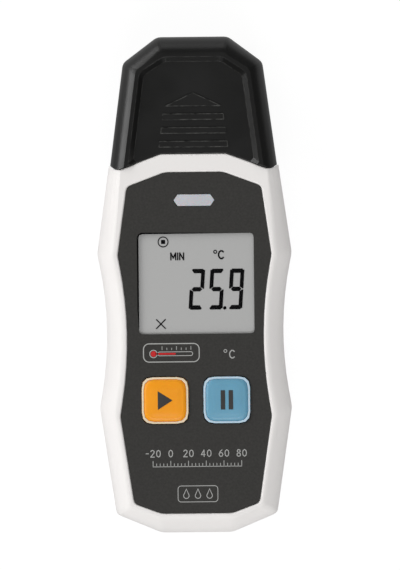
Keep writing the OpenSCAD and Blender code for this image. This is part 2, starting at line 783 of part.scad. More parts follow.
module usb_cap() {
    color("#2c2c2b") placed() {
        difference() {
            union() {
                rolled_up(cap_outline(0), ridge_outline(0), split_z, cap_ridge_z - cap_flank_h,
                    cap_ridge_z);
                rolled_down(cap_outline(0), cap_outline(-rear_roll_w), 0, rear_roll_h, split_z);
            }
            below_seam(seam_gap);
            slab(cap_outline(-cap_wall), cap_wall, cap_in_z);
            loft([ridge_outline(-land_w - recess_slope_w), ridge_outline(-land_w)],
                [cap_face_z, cap_ridge_z]);
            slab(ridge_outline(-land_w), cap_ridge_z, cap_ridge_z + over);
        }
        slab([[arrow_w / 2, arrow_base_h], [0, arrow_base_h + arrow_l], [-arrow_w / 2, arrow_base_h]],
            cap_face_z - grip_t, cap_face_z + grip_t);
        for (i = [0 : bar_count - 1]) {
            top_h = arrow_base_h - (bar_pitch - bar_l) - i * bar_pitch;
            half = (bar_w + i * bar_step_w) / 2;
            lean = bar_step_w / 2 * bar_l / bar_pitch;
            slab([[half + lean, top_h - bar_l], [half, top_h], [-half, top_h],
                [-half - lean, top_h - bar_l]], cap_face_z - grip_t, cap_face_z + grip_t);
        }
    }
}

module cap_seal() {
    color("#3a3a3c") placed() difference() {
        along(seal_top_h - seal_l + seat_gap, seal_top_h - seat_gap) neck_outline(seal_proud);
        along(seal_top_h - 2 * seal_l, neck_top_h) neck_outline(-seal_d + seat_gap);
    }
}

module front_housing() {
    color("#e8e4e2") placed() {
        difference() {
            union() {
                intersection() {
                    rolled_up(case_outline(0), face_outline(0), split_z, case_t - front_roll_h, case_t);
                    below_seam(0);
                }
                intersection() {
                    neck();
                    front_half();
                }
            }
            intersection() {
                rolled_up(case_outline(-wall), face_outline(-lip_w), split_z - over,
                    case_t - front_roll_h, front_in_z);
                below_seam(-wall);
            }
            along(seam_h - neck_reach - over, neck_top_h - neck_wall) neck_outline(-neck_wall);
            slab(panel_outline(seat_gap), pocket_z, case_t + over);
            at_view() block(glass_w + 2 * part_gap, glass_l + 2 * part_gap, corner_cut,
                front_in_z - over, case_t + over);
            at_both_keys() block(key_w + 2 * key_gap, key_w + 2 * key_gap, key_cut,
                front_in_z - over, case_t + over);
            at_light() slab(light_outline(seat_gap), front_in_z - over, case_t + over);
        }
        difference() {
            intersection() {
                at_screws() disc(boss_r, split_z + part_gap, front_in_z + over);
                rolled_up(case_outline(-wall / 2), face_outline(-lip_w), split_z,
                    case_t - front_roll_h, pocket_z);
            }
            at_screws() disc(pilot_r, split_z - over, front_in_z);
        }
        difference() {
            at_posts() disc(post_d / 2, board_top_z, front_in_z + over);
            at_posts() disc(post_pilot_r, board_top_z - over, front_in_z);
        }
    }
}

// Gaps in the ledge that let the lugs through once the door is turned
module door_notches() {
    for (i = [0 : lug_count - 1]) rotate([0, 0, lug_start + door_turn + i * 360 / lug_count])
        sector(lug_r + door_gap, lug_turn + door_turn / 5);
}

// A slice of a disc, about the X axis
module sector(r, turn) {
    polygon([[0, 0], 2 * r * [cos(turn / 2), -sin(turn / 2)], 2 * r * [cos(turn / 2), sin(turn / 2)]]);
}

module rear_housing() {
    color("#e6e2e0") placed() {
        difference() {
            union() {
                intersection() {
                    rolled_down(case_outline(0), case_outline(-rear_roll_w), 0, rear_roll_h, split_z);
                    below_seam(0);
                }
                intersection() {
                    neck();
                    rear_half();
                }
            }
            intersection() {
                rolled_down(case_outline(-wall), case_outline(-rear_roll_w - lip_w), rear_wall,
                    rear_roll_h, split_z + over);
                below_seam(-wall);
            }
            along(seam_h - neck_reach - over, neck_top_h - neck_wall) neck_outline(-neck_wall);
            gasket_ring(0);
            at_screws() disc(screw_head_d / 2 + screw_gap, -over, screw_seat_z);
            at_screws() disc(screw_clear_r, 0, split_z);
            translate([0, field_h, 0]) block(field_w, field_l, corner_cut, -over, field_d);
            at_door() disc(well_r, -over, rear_wall + over);
        }
        difference() {
            at_screws() disc(boss_r, rear_wall / 2, split_z);
            at_screws() disc(screw_head_d / 2 + screw_gap, -over, screw_seat_z);
            at_screws() disc(screw_clear_r, 0, split_z + over);
        }
        at_door() {
            ring(ring_r, well_r, rear_wall / 2, ring_top_z);
            difference() {
                ring(well_r + seat_gap, bore_r, ledge_z, ledge_z + ledge_t);
                intersection() {
                    disc(lug_r + door_gap, ledge_z - over, ledge_z + ledge_t + over);
                    translate([0, 0, ledge_z - over]) linear_extrude(ledge_t + 2 * over) door_notches();
                }
            }
        }
    }
}

// The band under the parting plane that the seal between the shells fills
module gasket_ring(gap) {
    difference() {
        slab(case_outline(-gasket_in - gap), split_z - gasket_t, split_z);
        slab(case_outline(-gasket_in - gasket_w + gap), split_z - gasket_t - over, split_z + over);
        translate([-total_len, seam_h - neck_reach - gap, 0]) cube([2 * total_len, total_len, case_t]);
    }
}

module housing_gasket() {
    color("#8c8f92") placed() gasket_ring(seat_gap / 2);
}

module panel_overlay() {
    color("#3d3b3a") placed() difference() {
        slab(panel_outline(0), pocket_z, pocket_z + panel_t);
        at_view() block(view_w, view_l, view_cut, pocket_z - over, case_t + over);
        at_both_keys() block(key_w + 2 * key_gap, key_w + 2 * key_gap, key_cut,
            pocket_z - over, case_t + over);
        at_light() slab(light_outline(seat_gap), pocket_z - over, case_t + over);
    }
}

module display_window() {
    color("#dfe6ea") placed() at_view()
        block(view_w - 2 * seat_gap, view_l - 2 * seat_gap, view_cut, pocket_z, pocket_z + window_t);
}

module lcd_glass() {
    color("#aaaaa8") placed() at_view() block(glass_w, glass_l, view_cut, glass_z, glass_top_z);
}

module lcd_frame() {
    gap = 2 * seat_gap;
    color("#303032") placed() at_view() difference() {
        block(glass_w + gap + 2 * frame_w, glass_l + gap + 2 * frame_w, corner_cut, board_top_z,
            front_in_z - seat_gap);
        block(glass_w + gap, glass_l + gap, view_cut, glass_z, case_t);
        block(glass_w - 2 * ledge_w, glass_l - 2 * ledge_w, corner_cut / 4, board_top_z - over, case_t);
    }
}

module lcd_strips() {
    reach = glass_l / 2 - ledge_w - seat_gap - strip_w / 2;
    color("#c8707c") placed() at_view()
        for (side = [-1, 1]) translate([-glass_w / 2 + frame_w, side * reach - strip_w / 2, board_top_z])
            cube([glass_w - 2 * frame_w, strip_w, glass_z - board_top_z]);
}

module led_window() {
    color("#c8cbd5") placed() at_light() {
        slab(light_outline(0), led_top_z + seat_gap, pocket_z + panel_t);
        slab(light_outline(light_flange_w), front_in_z - light_flange_t, front_in_z - seat_gap);
    }
}

module lamp(side) {
    placed() at_light() translate([side * led_pitch / 2 - led_w / 2, -led_l / 2, board_top_z])
        cube([led_w, led_l, led_t]);
}

module green_led() {
    color("#6fc46a") lamp(-1);
}

module red_led() {
    color("#c8493e") lamp(1);
}

module circuit_board() {
    color("#1f6b45") placed() difference() {
        slab(rounded(both_sides([[board_tongue_w / 2, board_tongue_h], [board_tongue_w / 2, board_low_h],
            [board_w / 2, board_low_h], [board_w / 2, board_neck_h], [board_neck_w / 2, board_neck_h],
            [board_neck_w / 2, board_top_h]]),
            [for (i = [0 : 11]) corner_cut], [for (i = [0 : 11]) 1]), board_z, board_top_z);
        at_posts() disc(post_pilot_r, board_z - over, board_top_z + over);
    }
}

module main_chip() {
    color("#222325") placed() translate([0, chip_h, 0])
        block(chip_w, chip_w, corner_cut / 4, board_z - chip_t, board_z);
}

module memory_chip() {
    color("#26272a") placed() translate([-side_part_x, side_part_h, 0])
        block(memory_w, memory_l, corner_cut / 4, board_z - chip_t, board_z);
}

module clock_crystal() {
    color("#b9bcc0") placed() translate([side_part_x, side_part_h + crystal_l / 2, board_z - crystal_d / 2])
        rotate([90, 0, 0]) cylinder(d = crystal_d, h = crystal_l);
}

module temperature_sensor() {
    color("#2e2f33") placed() translate([0, board_tongue_h + sensor_l + corner_cut / 2, 0])
        block(sensor_w, sensor_l, corner_cut / 4, board_z - sensor_t, board_z);
}

module key(side) {
    placed() at_key(side) {
        rolled_up(box_outline(key_in_w, key_in_w, key_in_cut),
            box_outline(key_roof_w, key_roof_w, key_in_cut - key_roll_w / 2),
            flange_top_z, key_top_z - key_roll_h, key_top_z);
        block(flange_w, flange_w, key_cut, flange_z, flange_top_z);
        disc(button_d / 2, key_z, flange_z);
    }
}

module key_rim(side) {
    placed() at_key(side) difference() {
        block(key_w, key_w, key_cut, flange_top_z, rim_top_z);
        block(key_in_w, key_in_w, key_in_cut, flange_top_z - over, rim_top_z + over);
    }
}

module start_key() {
    color("#f8a514") key(-1);
}

module start_key_rim() {
    color("#ebd7b9") key_rim(-1);
}

module start_key_mark() {
    color("#3c3c3c") placed() at_key(-1)
        slab([[play_w / 2, 0], [-play_w / 2, play_l / 2], [-play_w / 2, -play_l / 2]],
            key_top_z, key_top_z + mark_t);
}

module stop_key() {
    color("#6eaacd") key(1);
}

module stop_key_rim() {
    color("#cfe4f0") key_rim(1);
}

module stop_key_mark() {
    color("#3c3c3c") placed() at_key(1)
        for (side = [-1, 1]) translate([side * pause_pitch / 2 - pause_w / 2, -pause_l / 2, key_top_z])
            cube([pause_w, pause_l, mark_t]);
}

module keypad_seal() {
    gap_w = flange_w + 2 * part_gap;
    color("#d9d9d6") placed() difference() {
        translate([0, key_h, 0])
            block(key_pitch + gap_w + web_w, gap_w + web_w, key_cut, flange_z, flange_top_z);
        at_both_keys() block(gap_w, gap_w, key_cut, flange_z - over, flange_top_z + over);
    }
}

module switch_body(side) {
    placed() at_key(side) difference() {
        block(switch_w, switch_w, corner_cut / 2, board_top_z, switch_top_z);
        disc(button_d / 2 + seat_gap, switch_top_z - button_in - key_travel - seat_gap, case_t);
    }
}

module switch_button(side) {
    placed() at_key(side) disc(button_d / 2, switch_top_z - button_in, key_z);
}

module start_switch() {
    color("#b4b6b8") switch_body(-1);
}

module start_switch_button() {
    color("#26272a") switch_button(-1);
}

module stop_switch() {
    color("#b4b6b8") switch_body(1);
}

module stop_switch_button() {
    color("#26272a") switch_button(1);
}

module usb_plug_shell() {
    color("#c4c6c8") placed() difference() {
        along(plug_base_h, plug_top_h) plug_section(0);
        along(plug_base_h - over, plug_top_h + over) plug_section(-plug_sheet);
        for (side = [-1, 1]) translate([side * latch_x - latch_w / 2,
            plug_top_h - latch_drop - latch_w, plug_z - plug_t])
            cube([latch_w, latch_w, 2 * plug_t]);
    }
}

module usb_plug_tongue() {
    color("#e9e9e7") placed() {
        along(plug_base_h, plug_base_h + tongue_base_l) plug_section(-plug_sheet - seat_gap);
        translate([-tongue_w / 2, plug_base_h, tongue_z])
            cube([tongue_w, plug_top_h - plug_base_h - plug_sheet, tongue_t]);
    }
}

module usb_contacts() {
    color("#d8b45a") placed() for (x = contact_x)
        translate([x - contact_w / 2, plug_top_h - plug_sheet - contact_w - contact_l,
            tongue_z - contact_t]) cube([contact_w, contact_l, contact_t]);
}

module coin_cell() {
    color("#c9cbcd") placed() at_door() {
        disc(cell_r, cell_z, cell_top_z - cell_step);
        disc(cell_r - cell_step, cell_top_z - cell_step, cell_top_z);
    }
}

// Room in the holder's plate for a contact to pass, from the middle out to its arm
module contact_slot(x0, x1) {
    translate([x0 - part_gap, -spring_w / 2 - part_gap, holder_z])
        cube([x1 - x0 + 2 * part_gap, spring_w + 2 * part_gap, board_z - holder_z]);
}

module battery_holder() {
    color("#2a2a2c") placed() at_door() difference() {
        ring(holder_r, holder_in_r, holder_z, board_z);
        contact_slot(plus_x, holder_in_r);
    }
    color("#2a2a2c") placed() at_door() difference() {
        disc(holder_in_r + holder_wall / 2, board_z - holder_plate_t, board_z);
        contact_slot(-spring_arm, spring_pad_l);
        contact_slot(plus_x - spring_pad_l, plus_x);
    }
}

module battery_contact(path) {
    color("#d4d0c4") placed() at_door() translate([0, spring_w / 2, 0]) rotate([90, 0, 0])
        linear_extrude(spring_w) polygon(strip(path, spring_t));
}

// A pad on the board and a leg down to the rim of the cell
module plus_contact() {
    pad_z = board_z - spring_t / 2;
    leg_x = plus_x + spring_t / 2;
    battery_contact([[leg_x - spring_pad_l, pad_z], [leg_x, pad_z], [leg_x, hub_top_z + part_gap]]);
}

// A pad on the board and a sloping arm whose foot lies on the cell
module minus_contact() {
    pad_z = board_z - spring_t / 2;
    foot_z = cell_top_z + seat_gap + spring_t / 2;
    battery_contact([[spring_pad_l, pad_z], [0, pad_z], [-spring_arm, foot_z],
        [-spring_arm - spring_pad_l / 2, foot_z]]);
}

module battery_door() {
    color("#dedad8") placed() at_door() difference() {
        union() {
            disc(door_r, door_in, door_in + door_rim_t);
            disc(hub_r, door_in, hub_top_z);
            for (i = [0 : lug_count - 1]) rotate([0, 0, lug_start + i * 360 / lug_count])
                intersection() {
                    disc(lug_r, lug_z, hub_top_z);
                    translate([0, 0, lug_z]) linear_extrude(lug_t) sector(lug_r, lug_turn);
                }
        }
        disc(hub_in_r, door_floor_z, hub_top_z + over);
        translate([-slot_l / 2, -slot_w / 2, 0]) cube([slot_l, slot_w, door_in + slot_d]);
    }
}

module door_seal() {
    color("#55585c") placed() at_door()
        ring(door_r - seat_gap, hub_r, door_in + door_rim_t, door_in + door_rim_t + door_seal_t);
}

module housing_screws() {
    color("#8f9294") placed() at_screws() difference() {
        union() {
            disc(screw_head_d / 2, screw_in, screw_seat_z);
            disc(screw_d / 2, screw_in, screw_seat_z + screw_l);
        }
        for (turn = [0, 90]) rotate([0, 0, turn]) cube(
            [screw_head_d / 2, screw_head_t / 4, 2 * screw_in + screw_head_t], center = true);
    }
}

module board_screws() {
    color("#8f9294") placed() at_posts() difference() {
        union() {
            disc(board_screw_head_d / 2, board_z - board_screw_head_t, board_z);
            disc(board_screw_d / 2, board_z, board_z + board_screw_l);
        }
        for (turn = [0, 90]) translate([0, 0, board_z - board_screw_head_t]) rotate([0, 0, turn])
            cube([board_screw_head_d / 2, board_screw_head_t / 4, board_screw_head_t], center = true);
    }
}

usb_cap();
cap_seal();
front_housing();
rear_housing();
housing_gasket();
panel_overlay();
display_window();
lcd_glass();
lcd_frame();
lcd_strips();
led_window();
green_led();
red_led();
circuit_board();
main_chip();
memory_chip();
clock_crystal();
temperature_sensor();
start_key();
start_key_rim();
start_key_mark();
stop_key();
stop_key_rim();
stop_key_mark();
keypad_seal();
start_switch();
start_switch_button();
stop_switch();
stop_switch_button();
usb_plug_shell();
usb_plug_tongue();
usb_contacts();
coin_cell();
battery_holder();
plus_contact();
minus_contact();
battery_door();
door_seal();
housing_screws();
board_screws();
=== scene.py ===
"""Pocket temperature logger: finishes, printed marks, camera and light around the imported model.

Lengths are in metres in the part's own frame: X across, Y towards the cap, Z up to the display.
"""
import json
import math

import bmesh
import bpy
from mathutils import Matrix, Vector

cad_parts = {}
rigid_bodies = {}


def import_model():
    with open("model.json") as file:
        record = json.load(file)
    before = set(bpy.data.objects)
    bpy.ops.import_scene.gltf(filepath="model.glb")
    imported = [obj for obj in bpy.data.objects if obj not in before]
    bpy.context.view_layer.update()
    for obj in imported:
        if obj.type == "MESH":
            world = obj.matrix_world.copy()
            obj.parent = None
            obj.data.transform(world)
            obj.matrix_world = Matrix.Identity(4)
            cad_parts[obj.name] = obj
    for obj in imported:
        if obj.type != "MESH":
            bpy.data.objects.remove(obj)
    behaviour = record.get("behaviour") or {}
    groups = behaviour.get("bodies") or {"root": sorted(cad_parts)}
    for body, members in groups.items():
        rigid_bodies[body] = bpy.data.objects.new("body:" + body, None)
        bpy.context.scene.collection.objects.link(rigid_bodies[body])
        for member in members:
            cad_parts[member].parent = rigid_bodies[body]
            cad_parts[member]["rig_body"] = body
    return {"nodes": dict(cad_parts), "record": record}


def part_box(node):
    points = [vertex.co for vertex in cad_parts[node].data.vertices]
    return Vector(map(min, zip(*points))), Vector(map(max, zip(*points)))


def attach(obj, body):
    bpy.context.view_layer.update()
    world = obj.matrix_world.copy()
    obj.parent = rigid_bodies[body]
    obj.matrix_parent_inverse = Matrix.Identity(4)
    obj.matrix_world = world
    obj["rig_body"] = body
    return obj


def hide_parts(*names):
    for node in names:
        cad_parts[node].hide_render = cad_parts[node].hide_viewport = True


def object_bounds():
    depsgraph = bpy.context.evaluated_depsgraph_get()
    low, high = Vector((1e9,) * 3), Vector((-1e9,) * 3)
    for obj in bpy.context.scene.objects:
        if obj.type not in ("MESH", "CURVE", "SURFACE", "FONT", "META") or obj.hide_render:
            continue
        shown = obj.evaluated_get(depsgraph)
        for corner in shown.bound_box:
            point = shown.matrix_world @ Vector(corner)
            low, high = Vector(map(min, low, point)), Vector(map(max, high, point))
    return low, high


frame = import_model()
CAD_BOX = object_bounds()
MM = 0.001
NODES = frame["nodes"]
RECORD = frame["record"]
NODE_SLOT = {s["node"]: s["material_slot"] for s in RECORD["subparts"]}
NODE_BODY = {name: node["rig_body"] for name, node in NODES.items()}


def middle(span):
    return (span[0] + span[1]) / 2


def size(span):
    return span[1] - span[0]


# Colours, written as they look on a screen, from 0 to 255
BOARD_GREEN = (22, 104, 62)
WINDOW_GREY = (60, 62, 64)
CAP_BLACK = (15, 15, 14)
# Pale edge colour of the cap: rubbed wear, and also a painted highlight along its edges
CAP_WEAR_AND_HIGHLIGHT = (112, 112, 109)
SHELL_WHITE = (241, 238, 236)
SHELL_WORN = (250, 249, 247)
PANEL_GREY = (54, 53, 51)
DISPLAY_GREY = (188, 188, 187)
SEGMENT_BLACK = (8, 8, 9)
GUIDE_PALE = (197, 198, 204)
KEY_ORANGE = (250, 160, 4)
KEY_BLUE = (106, 163, 190)
MARK_GREY = (60, 59, 58)
RIM_CREAM = (236, 216, 186)
RIM_BLUE = (190, 214, 230)
PRINT_GREY = (172, 172, 170)
PRINT_RED = (196, 40, 42)

# Most values of a noise texture lie between these two
NOISE_LOW, NOISE_HIGH = 0.3, 0.7
# How alike the rounded and the true normal are where the edge patches (wear, on the cap also a painted
# highlight) start and where they are full
WEAR_AND_HIGHLIGHT_STARTS, WEAR_AND_HIGHLIGHT_FULL = 0.985, 0.8
# The noise values between which the edge patches (wear, on the cap also a painted highlight) come out, and
# the detail of that noise
SPOTS_FROM, SPOTS_TO, SPOTS_DETAIL = 0.36, 0.6, 4.0
# Sockets of a Mix node: its two colours and their mix, and its two values and theirs
COLOUR_A, COLOUR_B, COLOUR_OUT = 6, 7, 2
VALUE_A, VALUE_B, VALUE_OUT = 2, 3, 0


def linear(colour):
    """A screen colour as the light that it stands for."""
    shares = [c / 255 for c in colour]
    return [s / 12.92 if s <= 0.04045 else ((s + 0.055) / 1.055) ** 2.4 for s in shares] + [1]


class Surface:
    """A Principled material whose colour, gloss and relief vary over the surface."""

    def __init__(self, name, colour, rough, specular=0.5, metallic=0.0):
        self.material = bpy.data.materials.new(name)
        self.material.use_nodes = True
        self.tree = self.material.node_tree
        self.shader = self.tree.nodes["Principled BSDF"]
        self.colour = linear(colour)
        self.rough = rough
        self.shader.inputs["Base Color"].default_value = self.colour
        self.shader.inputs["Roughness"].default_value = rough
        self.shader.inputs["Specular IOR Level"].default_value = specular
        self.shader.inputs["Metallic"].default_value = metallic
        self.place = self.tree.nodes.new("ShaderNodeTexCoord").outputs["Object"]
        self.last_normal = None

    def node(self, kind, **settings):
        made = self.tree.nodes.new(kind)
        for key, value in settings.items():
            setattr(made, key, value)
        return made

    def link(self, output, socket):
        self.tree.links.new(output, socket)

    def noise(self, grain, detail=3.0, stretch=(1, 1, 1)):
        """Noise whose features are about one grain wide."""
        place = self.place
        if stretch != (1, 1, 1):
            mapping = self.node("ShaderNodeMapping")
            mapping.inputs["Scale"].default_value = stretch
            self.link(self.place, mapping.inputs["Vector"])
            place = mapping.outputs["Vector"]
        made = self.node("ShaderNodeTexNoise")
        made.inputs["Scale"].default_value = 1 / grain
        made.inputs["Detail"].default_value = detail
        self.link(place, made.inputs["Vector"])
        return made.outputs["Fac"]

    def ranged(self, value, start, end, low=0.0, high=1.0):
        """A value stretched from between start and end to between low and high."""
        made = self.node("ShaderNodeMapRange")
        made.inputs["From Min"].default_value = start
        made.inputs["From Max"].default_value = end
        made.inputs["To Min"].default_value = low
        made.inputs["To Max"].default_value = high
        self.link(value, made.inputs["Value"])
        return made.outputs["Result"]

    def relief(self, grain, height, detail=3.0, stretch=(1, 1, 1)):
        """Adds a bump of the given height."""
        bump = self.node("ShaderNodeBump")
        bump.inputs["Strength"].default_value = 1
        bump.inputs["Distance"].default_value = height
        self.link(self.noise(grain, detail, stretch), bump.inputs["Height"])
        if self.last_normal:
            self.link(self.last_normal, bump.inputs["Normal"])
        self.last_normal = bump.outputs["Normal"]
        self.link(self.last_normal, self.shader.inputs["Normal"])
        return self

    def patches(self, grain, spread, detail=2.0, stretch=(1, 1, 1)):
        """Lets the colour drift lighter and darker by the given share."""
        ramp = self.node("ShaderNodeValToRGB")
        ends = ramp.color_ramp.elements
        ends[0].position, ends[1].position = NOISE_LOW, NOISE_HIGH
        ends[0].color = [c * (1 - spread) for c in self.colour[:3]] + [1]
        ends[1].color = [min(1, c * (1 + spread)) for c in self.colour[:3]] + [1]
        self.link(self.noise(grain, detail, stretch), ramp.inputs["Fac"])
        self.link(ramp.outputs["Color"], self.shader.inputs["Base Color"])
        return self

    def handled(self, grain, spread, detail=4.0):
        """Lets the gloss drift, as where fingers have rubbed the surface."""
        gloss = self.ranged(self.noise(grain, detail), NOISE_LOW, NOISE_HIGH,
                            self.rough - spread, self.rough + spread)
        self.link(gloss, self.shader.inputs["Roughness"])
        return self

    def softened(self, reach):
        """Makes sharp edges catch the light as if they were rounded, before any relief is added."""
        soft = self.node("ShaderNodeBevel", samples=6)
        soft.inputs["Radius"].default_value = reach
        self.last_normal = soft.outputs["Normal"]
        self.link(self.last_normal, self.shader.inputs["Normal"])
        return self

    def edge_wear_and_highlight(self, colour, reach, share, grain=0.0012):
        """Lets another colour show in small patches along the edges, as where the part has been rubbed;
        where that colour is much paler than the part, it also serves as a painted highlight along the
        edges.
        """
        wide = self.node("ShaderNodeBevel", samples=6)
        wide.inputs["Radius"].default_value = reach
        flat = self.node("ShaderNodeNewGeometry").outputs["Normal"]
        alike = self.node("ShaderNodeVectorMath", operation="DOT_PRODUCT")
        self.link(wide.outputs["Normal"], alike.inputs[0])
        self.link(flat, alike.inputs[1])
        edge = self.ranged(alike.outputs["Value"], WEAR_AND_HIGHLIGHT_STARTS, WEAR_AND_HIGHLIGHT_FULL)
        spots = self.ranged(self.noise(grain, SPOTS_DETAIL), SPOTS_FROM, SPOTS_TO, high=share)
        both = self.node("ShaderNodeMath", operation="MULTIPLY")
        self.link(edge, both.inputs[0])
        self.link(spots, both.inputs[1])
        mix = self.node("ShaderNodeMix", data_type="RGBA")
        base = self.shader.inputs["Base Color"]
        mix.inputs[COLOUR_A].default_value = self.colour
        if base.links:
            self.link(base.links[0].from_socket, mix.inputs[COLOUR_A])
        mix.inputs[COLOUR_B].default_value = linear(colour)
        self.link(both.outputs["Value"], mix.inputs[0])
        self.link(mix.outputs[COLOUR_OUT], base)
        return self


def cap_plastic():
    made = Surface("cap_plastic", CAP_BLACK, rough=0.36, specular=0.58)
    # The pale edge patches are partly rubbed wear and partly a painted highlight along the cap's edges
    made.patches(grain=0.02, spread=0.08).edge_wear_and_highlight(CAP_WEAR_AND_HIGHLIGHT, reach=0.0003, share=0.7)
    made.handled(grain=0.012, spread=0.05).relief(grain=0.0003, height=0.000009)
    return made.relief(grain=0.004, height=0.00001).material


def white_plastic():
    made = Surface("white_plastic", SHELL_WHITE, rough=0.42, specular=0.35)
    made.patches(grain=0.03, spread=0.012).edge_wear_and_highlight(SHELL_WORN, reach=0.0003, share=0.6)
    made.softened(reach=0.0002).handled(grain=0.015, spread=0.06)
    return made.relief(grain=0.0003, height=0.000004).material


def panel_film():
    made = Surface("panel_film", PANEL_GREY, rough=0.6, specular=0.25)
    made.patches(grain=0.0004, spread=0.14, detail=4).handled(grain=0.01, spread=0.05)
    return made.relief(grain=0.0002, height=0.00001).material


def clear_window():
    made = Surface("clear_window", WINDOW_GREY, rough=0.12, specular=0.06)
    made.shader.inputs["Alpha"].default_value = 0.03
    return made.handled(grain=0.008, spread=0.04).relief(grain=0.004, height=0.000002).material


def display_grey():
    made = Surface("display", DISPLAY_GREY, rough=0.5, specular=0.05)
    made.patches(grain=0.0004, spread=0.012).handled(grain=0.01, spread=0.03)
    return made.relief(grain=0.0003, height=0.000002).material


def light_guide():
    made = Surface("light_guide", GUIDE_PALE, rough=0.35, specular=0.45)
    made.shader.inputs["Subsurface Weight"].default_value = 0.2
    made.shader.inputs["Subsurface Scale"].default_value = 0.001
    made.patches(grain=0.003, spread=0.03).handled(grain=0.004, spread=0.05)
    return made.relief(grain=0.0005, height=0.000006).material


def silicone(name, colour, rough=0.38):
    made = Surface(name, colour, rough, specular=0.46)
    made.shader.inputs["Subsurface Weight"].default_value = 0.15
    made.shader.inputs["Subsurface Scale"].default_value = 0.0008
    made.shader.inputs["Subsurface Radius"].default_value = (1, 0.6, 0.4)
    made.patches(grain=0.004, spread=0.03).handled(grain=0.003, spread=0.05)
    return made.relief(grain=0.0003, height=0.000002).material


def moulded(name, colour, rough=0.5, specular=0.35):
    made = Surface(name, colour, rough, specular)
    made.patches(grain=0.004, spread=0.05).handled(grain=0.004, spread=0.06)
    return made.relief(grain=0.0002, height=0.000006).material


def sheet_metal(name, colour, rough=0.3, brushed=(1, 14, 1)):
    made = Surface(name, colour, rough, metallic=1.0)
    made.patches(grain=0.002, spread=0.03, stretch=brushed).handled(grain=0.004, spread=0.015)
    return made.relief(grain=0.0008, height=0.0000006, stretch=brushed).material


def board_green():
    made = Surface("board", BOARD_GREEN, rough=0.32, specular=0.5)
    made.patches(grain=0.0015, spread=0.18, detail=1).handled(grain=0.003, spread=0.06)
    return made.relief(grain=0.0006, height=0.00001).material


MATERIALS = {
    "cap_plastic": cap_plastic(),
    "white_plastic": white_plastic(),
    "panel_film": panel_film(),
    "clear_window": clear_window(),
    "display": display_grey(),
    "light_guide": light_guide(),
    "dark_plastic": moulded("dark_plastic", (38, 38, 40)),
    "connector_rubber": silicone("connector_rubber", (200, 112, 124), rough=0.5),
    "green_lamp": moulded("green_lamp", (111, 196, 106), rough=0.25),
    "red_lamp": moulded("red_lamp", (200, 73, 62), rough=0.25),
    "board": board_green(),
    "crystal_can": sheet_metal("crystal_can", (188, 190, 194)),
    "orange_key": silicone("orange_key", KEY_ORANGE, rough=0.42),
    "blue_key": silicone("blue_key", KEY_BLUE),
    "pale_silicone": silicone("pale_silicone", RIM_CREAM),
    "key_mark": moulded("key_mark", MARK_GREY, rough=0.45),
    "seal_rubber": silicone("seal_rubber", (62, 63, 65), rough=0.6),
    "switch_metal": sheet_metal("switch_metal", (180, 182, 184)),
    "plug_steel": sheet_metal("plug_steel", (198, 200, 202), rough=0.26),
    "plug_insulator": moulded("plug_insulator", (236, 236, 233), rough=0.4),
    "gold_contact": sheet_metal("gold_contact", (222, 184, 96), rough=0.22),
    "cell_steel": sheet_metal("cell_steel", (200, 202, 204), rough=0.24),
    "screw_steel": sheet_metal("screw_steel", (150, 152, 154)),
    "pale_blue_silicone": silicone("pale_blue_silicone", RIM_BLUE),
    "segment_black": moulded("segment_black", SEGMENT_BLACK, rough=0.5, specular=0.03),
    "print_grey": moulded("print_grey", PRINT_GREY, rough=0.55, specular=0.2),
    "print_red": moulded("print_red", PRINT_RED, rough=0.5, specular=0.2),
}
# Nodes whose own colour differs from that of their slot
NODE_MATERIAL = {"stop_key_rim": "pale_blue_silicone"}

for name, node in NODES.items():
    finish = MATERIALS[NODE_MATERIAL.get(name, NODE_SLOT[name])]
    node.data.materials.clear()
    node.data.materials.append(finish)

# Vertices closer than this are one, and points this close to a level lie in it
WELD, LEVEL_SLACK = 0.02 * MM, 0.01 * MM
# Angles in degrees: between faces of one plane, at a rim, and between sides that look different ways
ONE_PLANE, RIM_ANGLE, TURN_ANGLE = 0.5, 60, 7
# How much of a face's normal lies along an axis: on a sloping, a clearly turned and a level face
SLOPING, LOOKS_ALONG, LEVEL = 0.3, 0.7, 0.999
# The fall of a key's top to its sides: two bands from the edge inwards, how far the outline of each
# drops, and how deep below the top the fall reaches
KEY_BANDS = 0.55 * MM, 0.65 * MM
KEY_DROPS = 0.17 * MM, 0.06 * MM
KEY_EDGE_DEPTH = 0.6 * MM
# The level where the two shells meet
SPLIT_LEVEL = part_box("rear_housing")[1][2]
# The neck of the case, which the cap covers: how far it reaches from the middle, and where it starts
NECK_HALF, NECK_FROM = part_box("cap_seal")[1][0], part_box("usb_cap")[0][1]


def cleaned(edit):
    """Joins vertices that lie together and faces that lie in one plane."""
    bmesh.ops.remove_doubles(edit, verts=edit.verts, dist=WELD)
    bmesh.ops.dissolve_degenerate(edit, edges=edit.edges, dist=WELD / 4)
    bmesh.ops.dissolve_limit(edit, angle_limit=math.radians(ONE_PLANE), verts=edit.verts, edges=edit.edges)


def corner_edges(edit, least):
    """Edges where two faces meet at more than the given angle in degrees."""
    return [e for e in edit.edges if len(e.link_faces) == 2
            and e.calc_face_angle(0) > math.radians(least)]


def turned(edge):
    """Whether two sloping faces that meet here look in clearly different level directions."""
    ways = [f.normal.xy for f in edge.link_faces]
    if any(way.length < SLOPING for way in ways):
        return False
    return ways[0].angle(ways[1]) > math.radians(TURN_ANGLE)


def shaded(obj, smooth, crisp=False):
    """Smooth shading over edges below an angle, with large faces kept flat and, if crisp, corners kept."""
    edit = bmesh.new()
    edit.from_mesh(obj.data)
    for face in edit.faces:
        face.smooth = True
    for edge in edit.edges:
        edge.smooth = len(edge.link_faces) == 2 and edge.calc_face_angle(0) < math.radians(smooth)
        if crisp and edge.smooth and turned(edge):
            edge.smooth = False
    edit.to_mesh(obj.data)
    edit.free()
    weighted = obj.modifiers.new("even_shading", "WEIGHTED_NORMAL")
    weighted.keep_sharp = True
    return obj


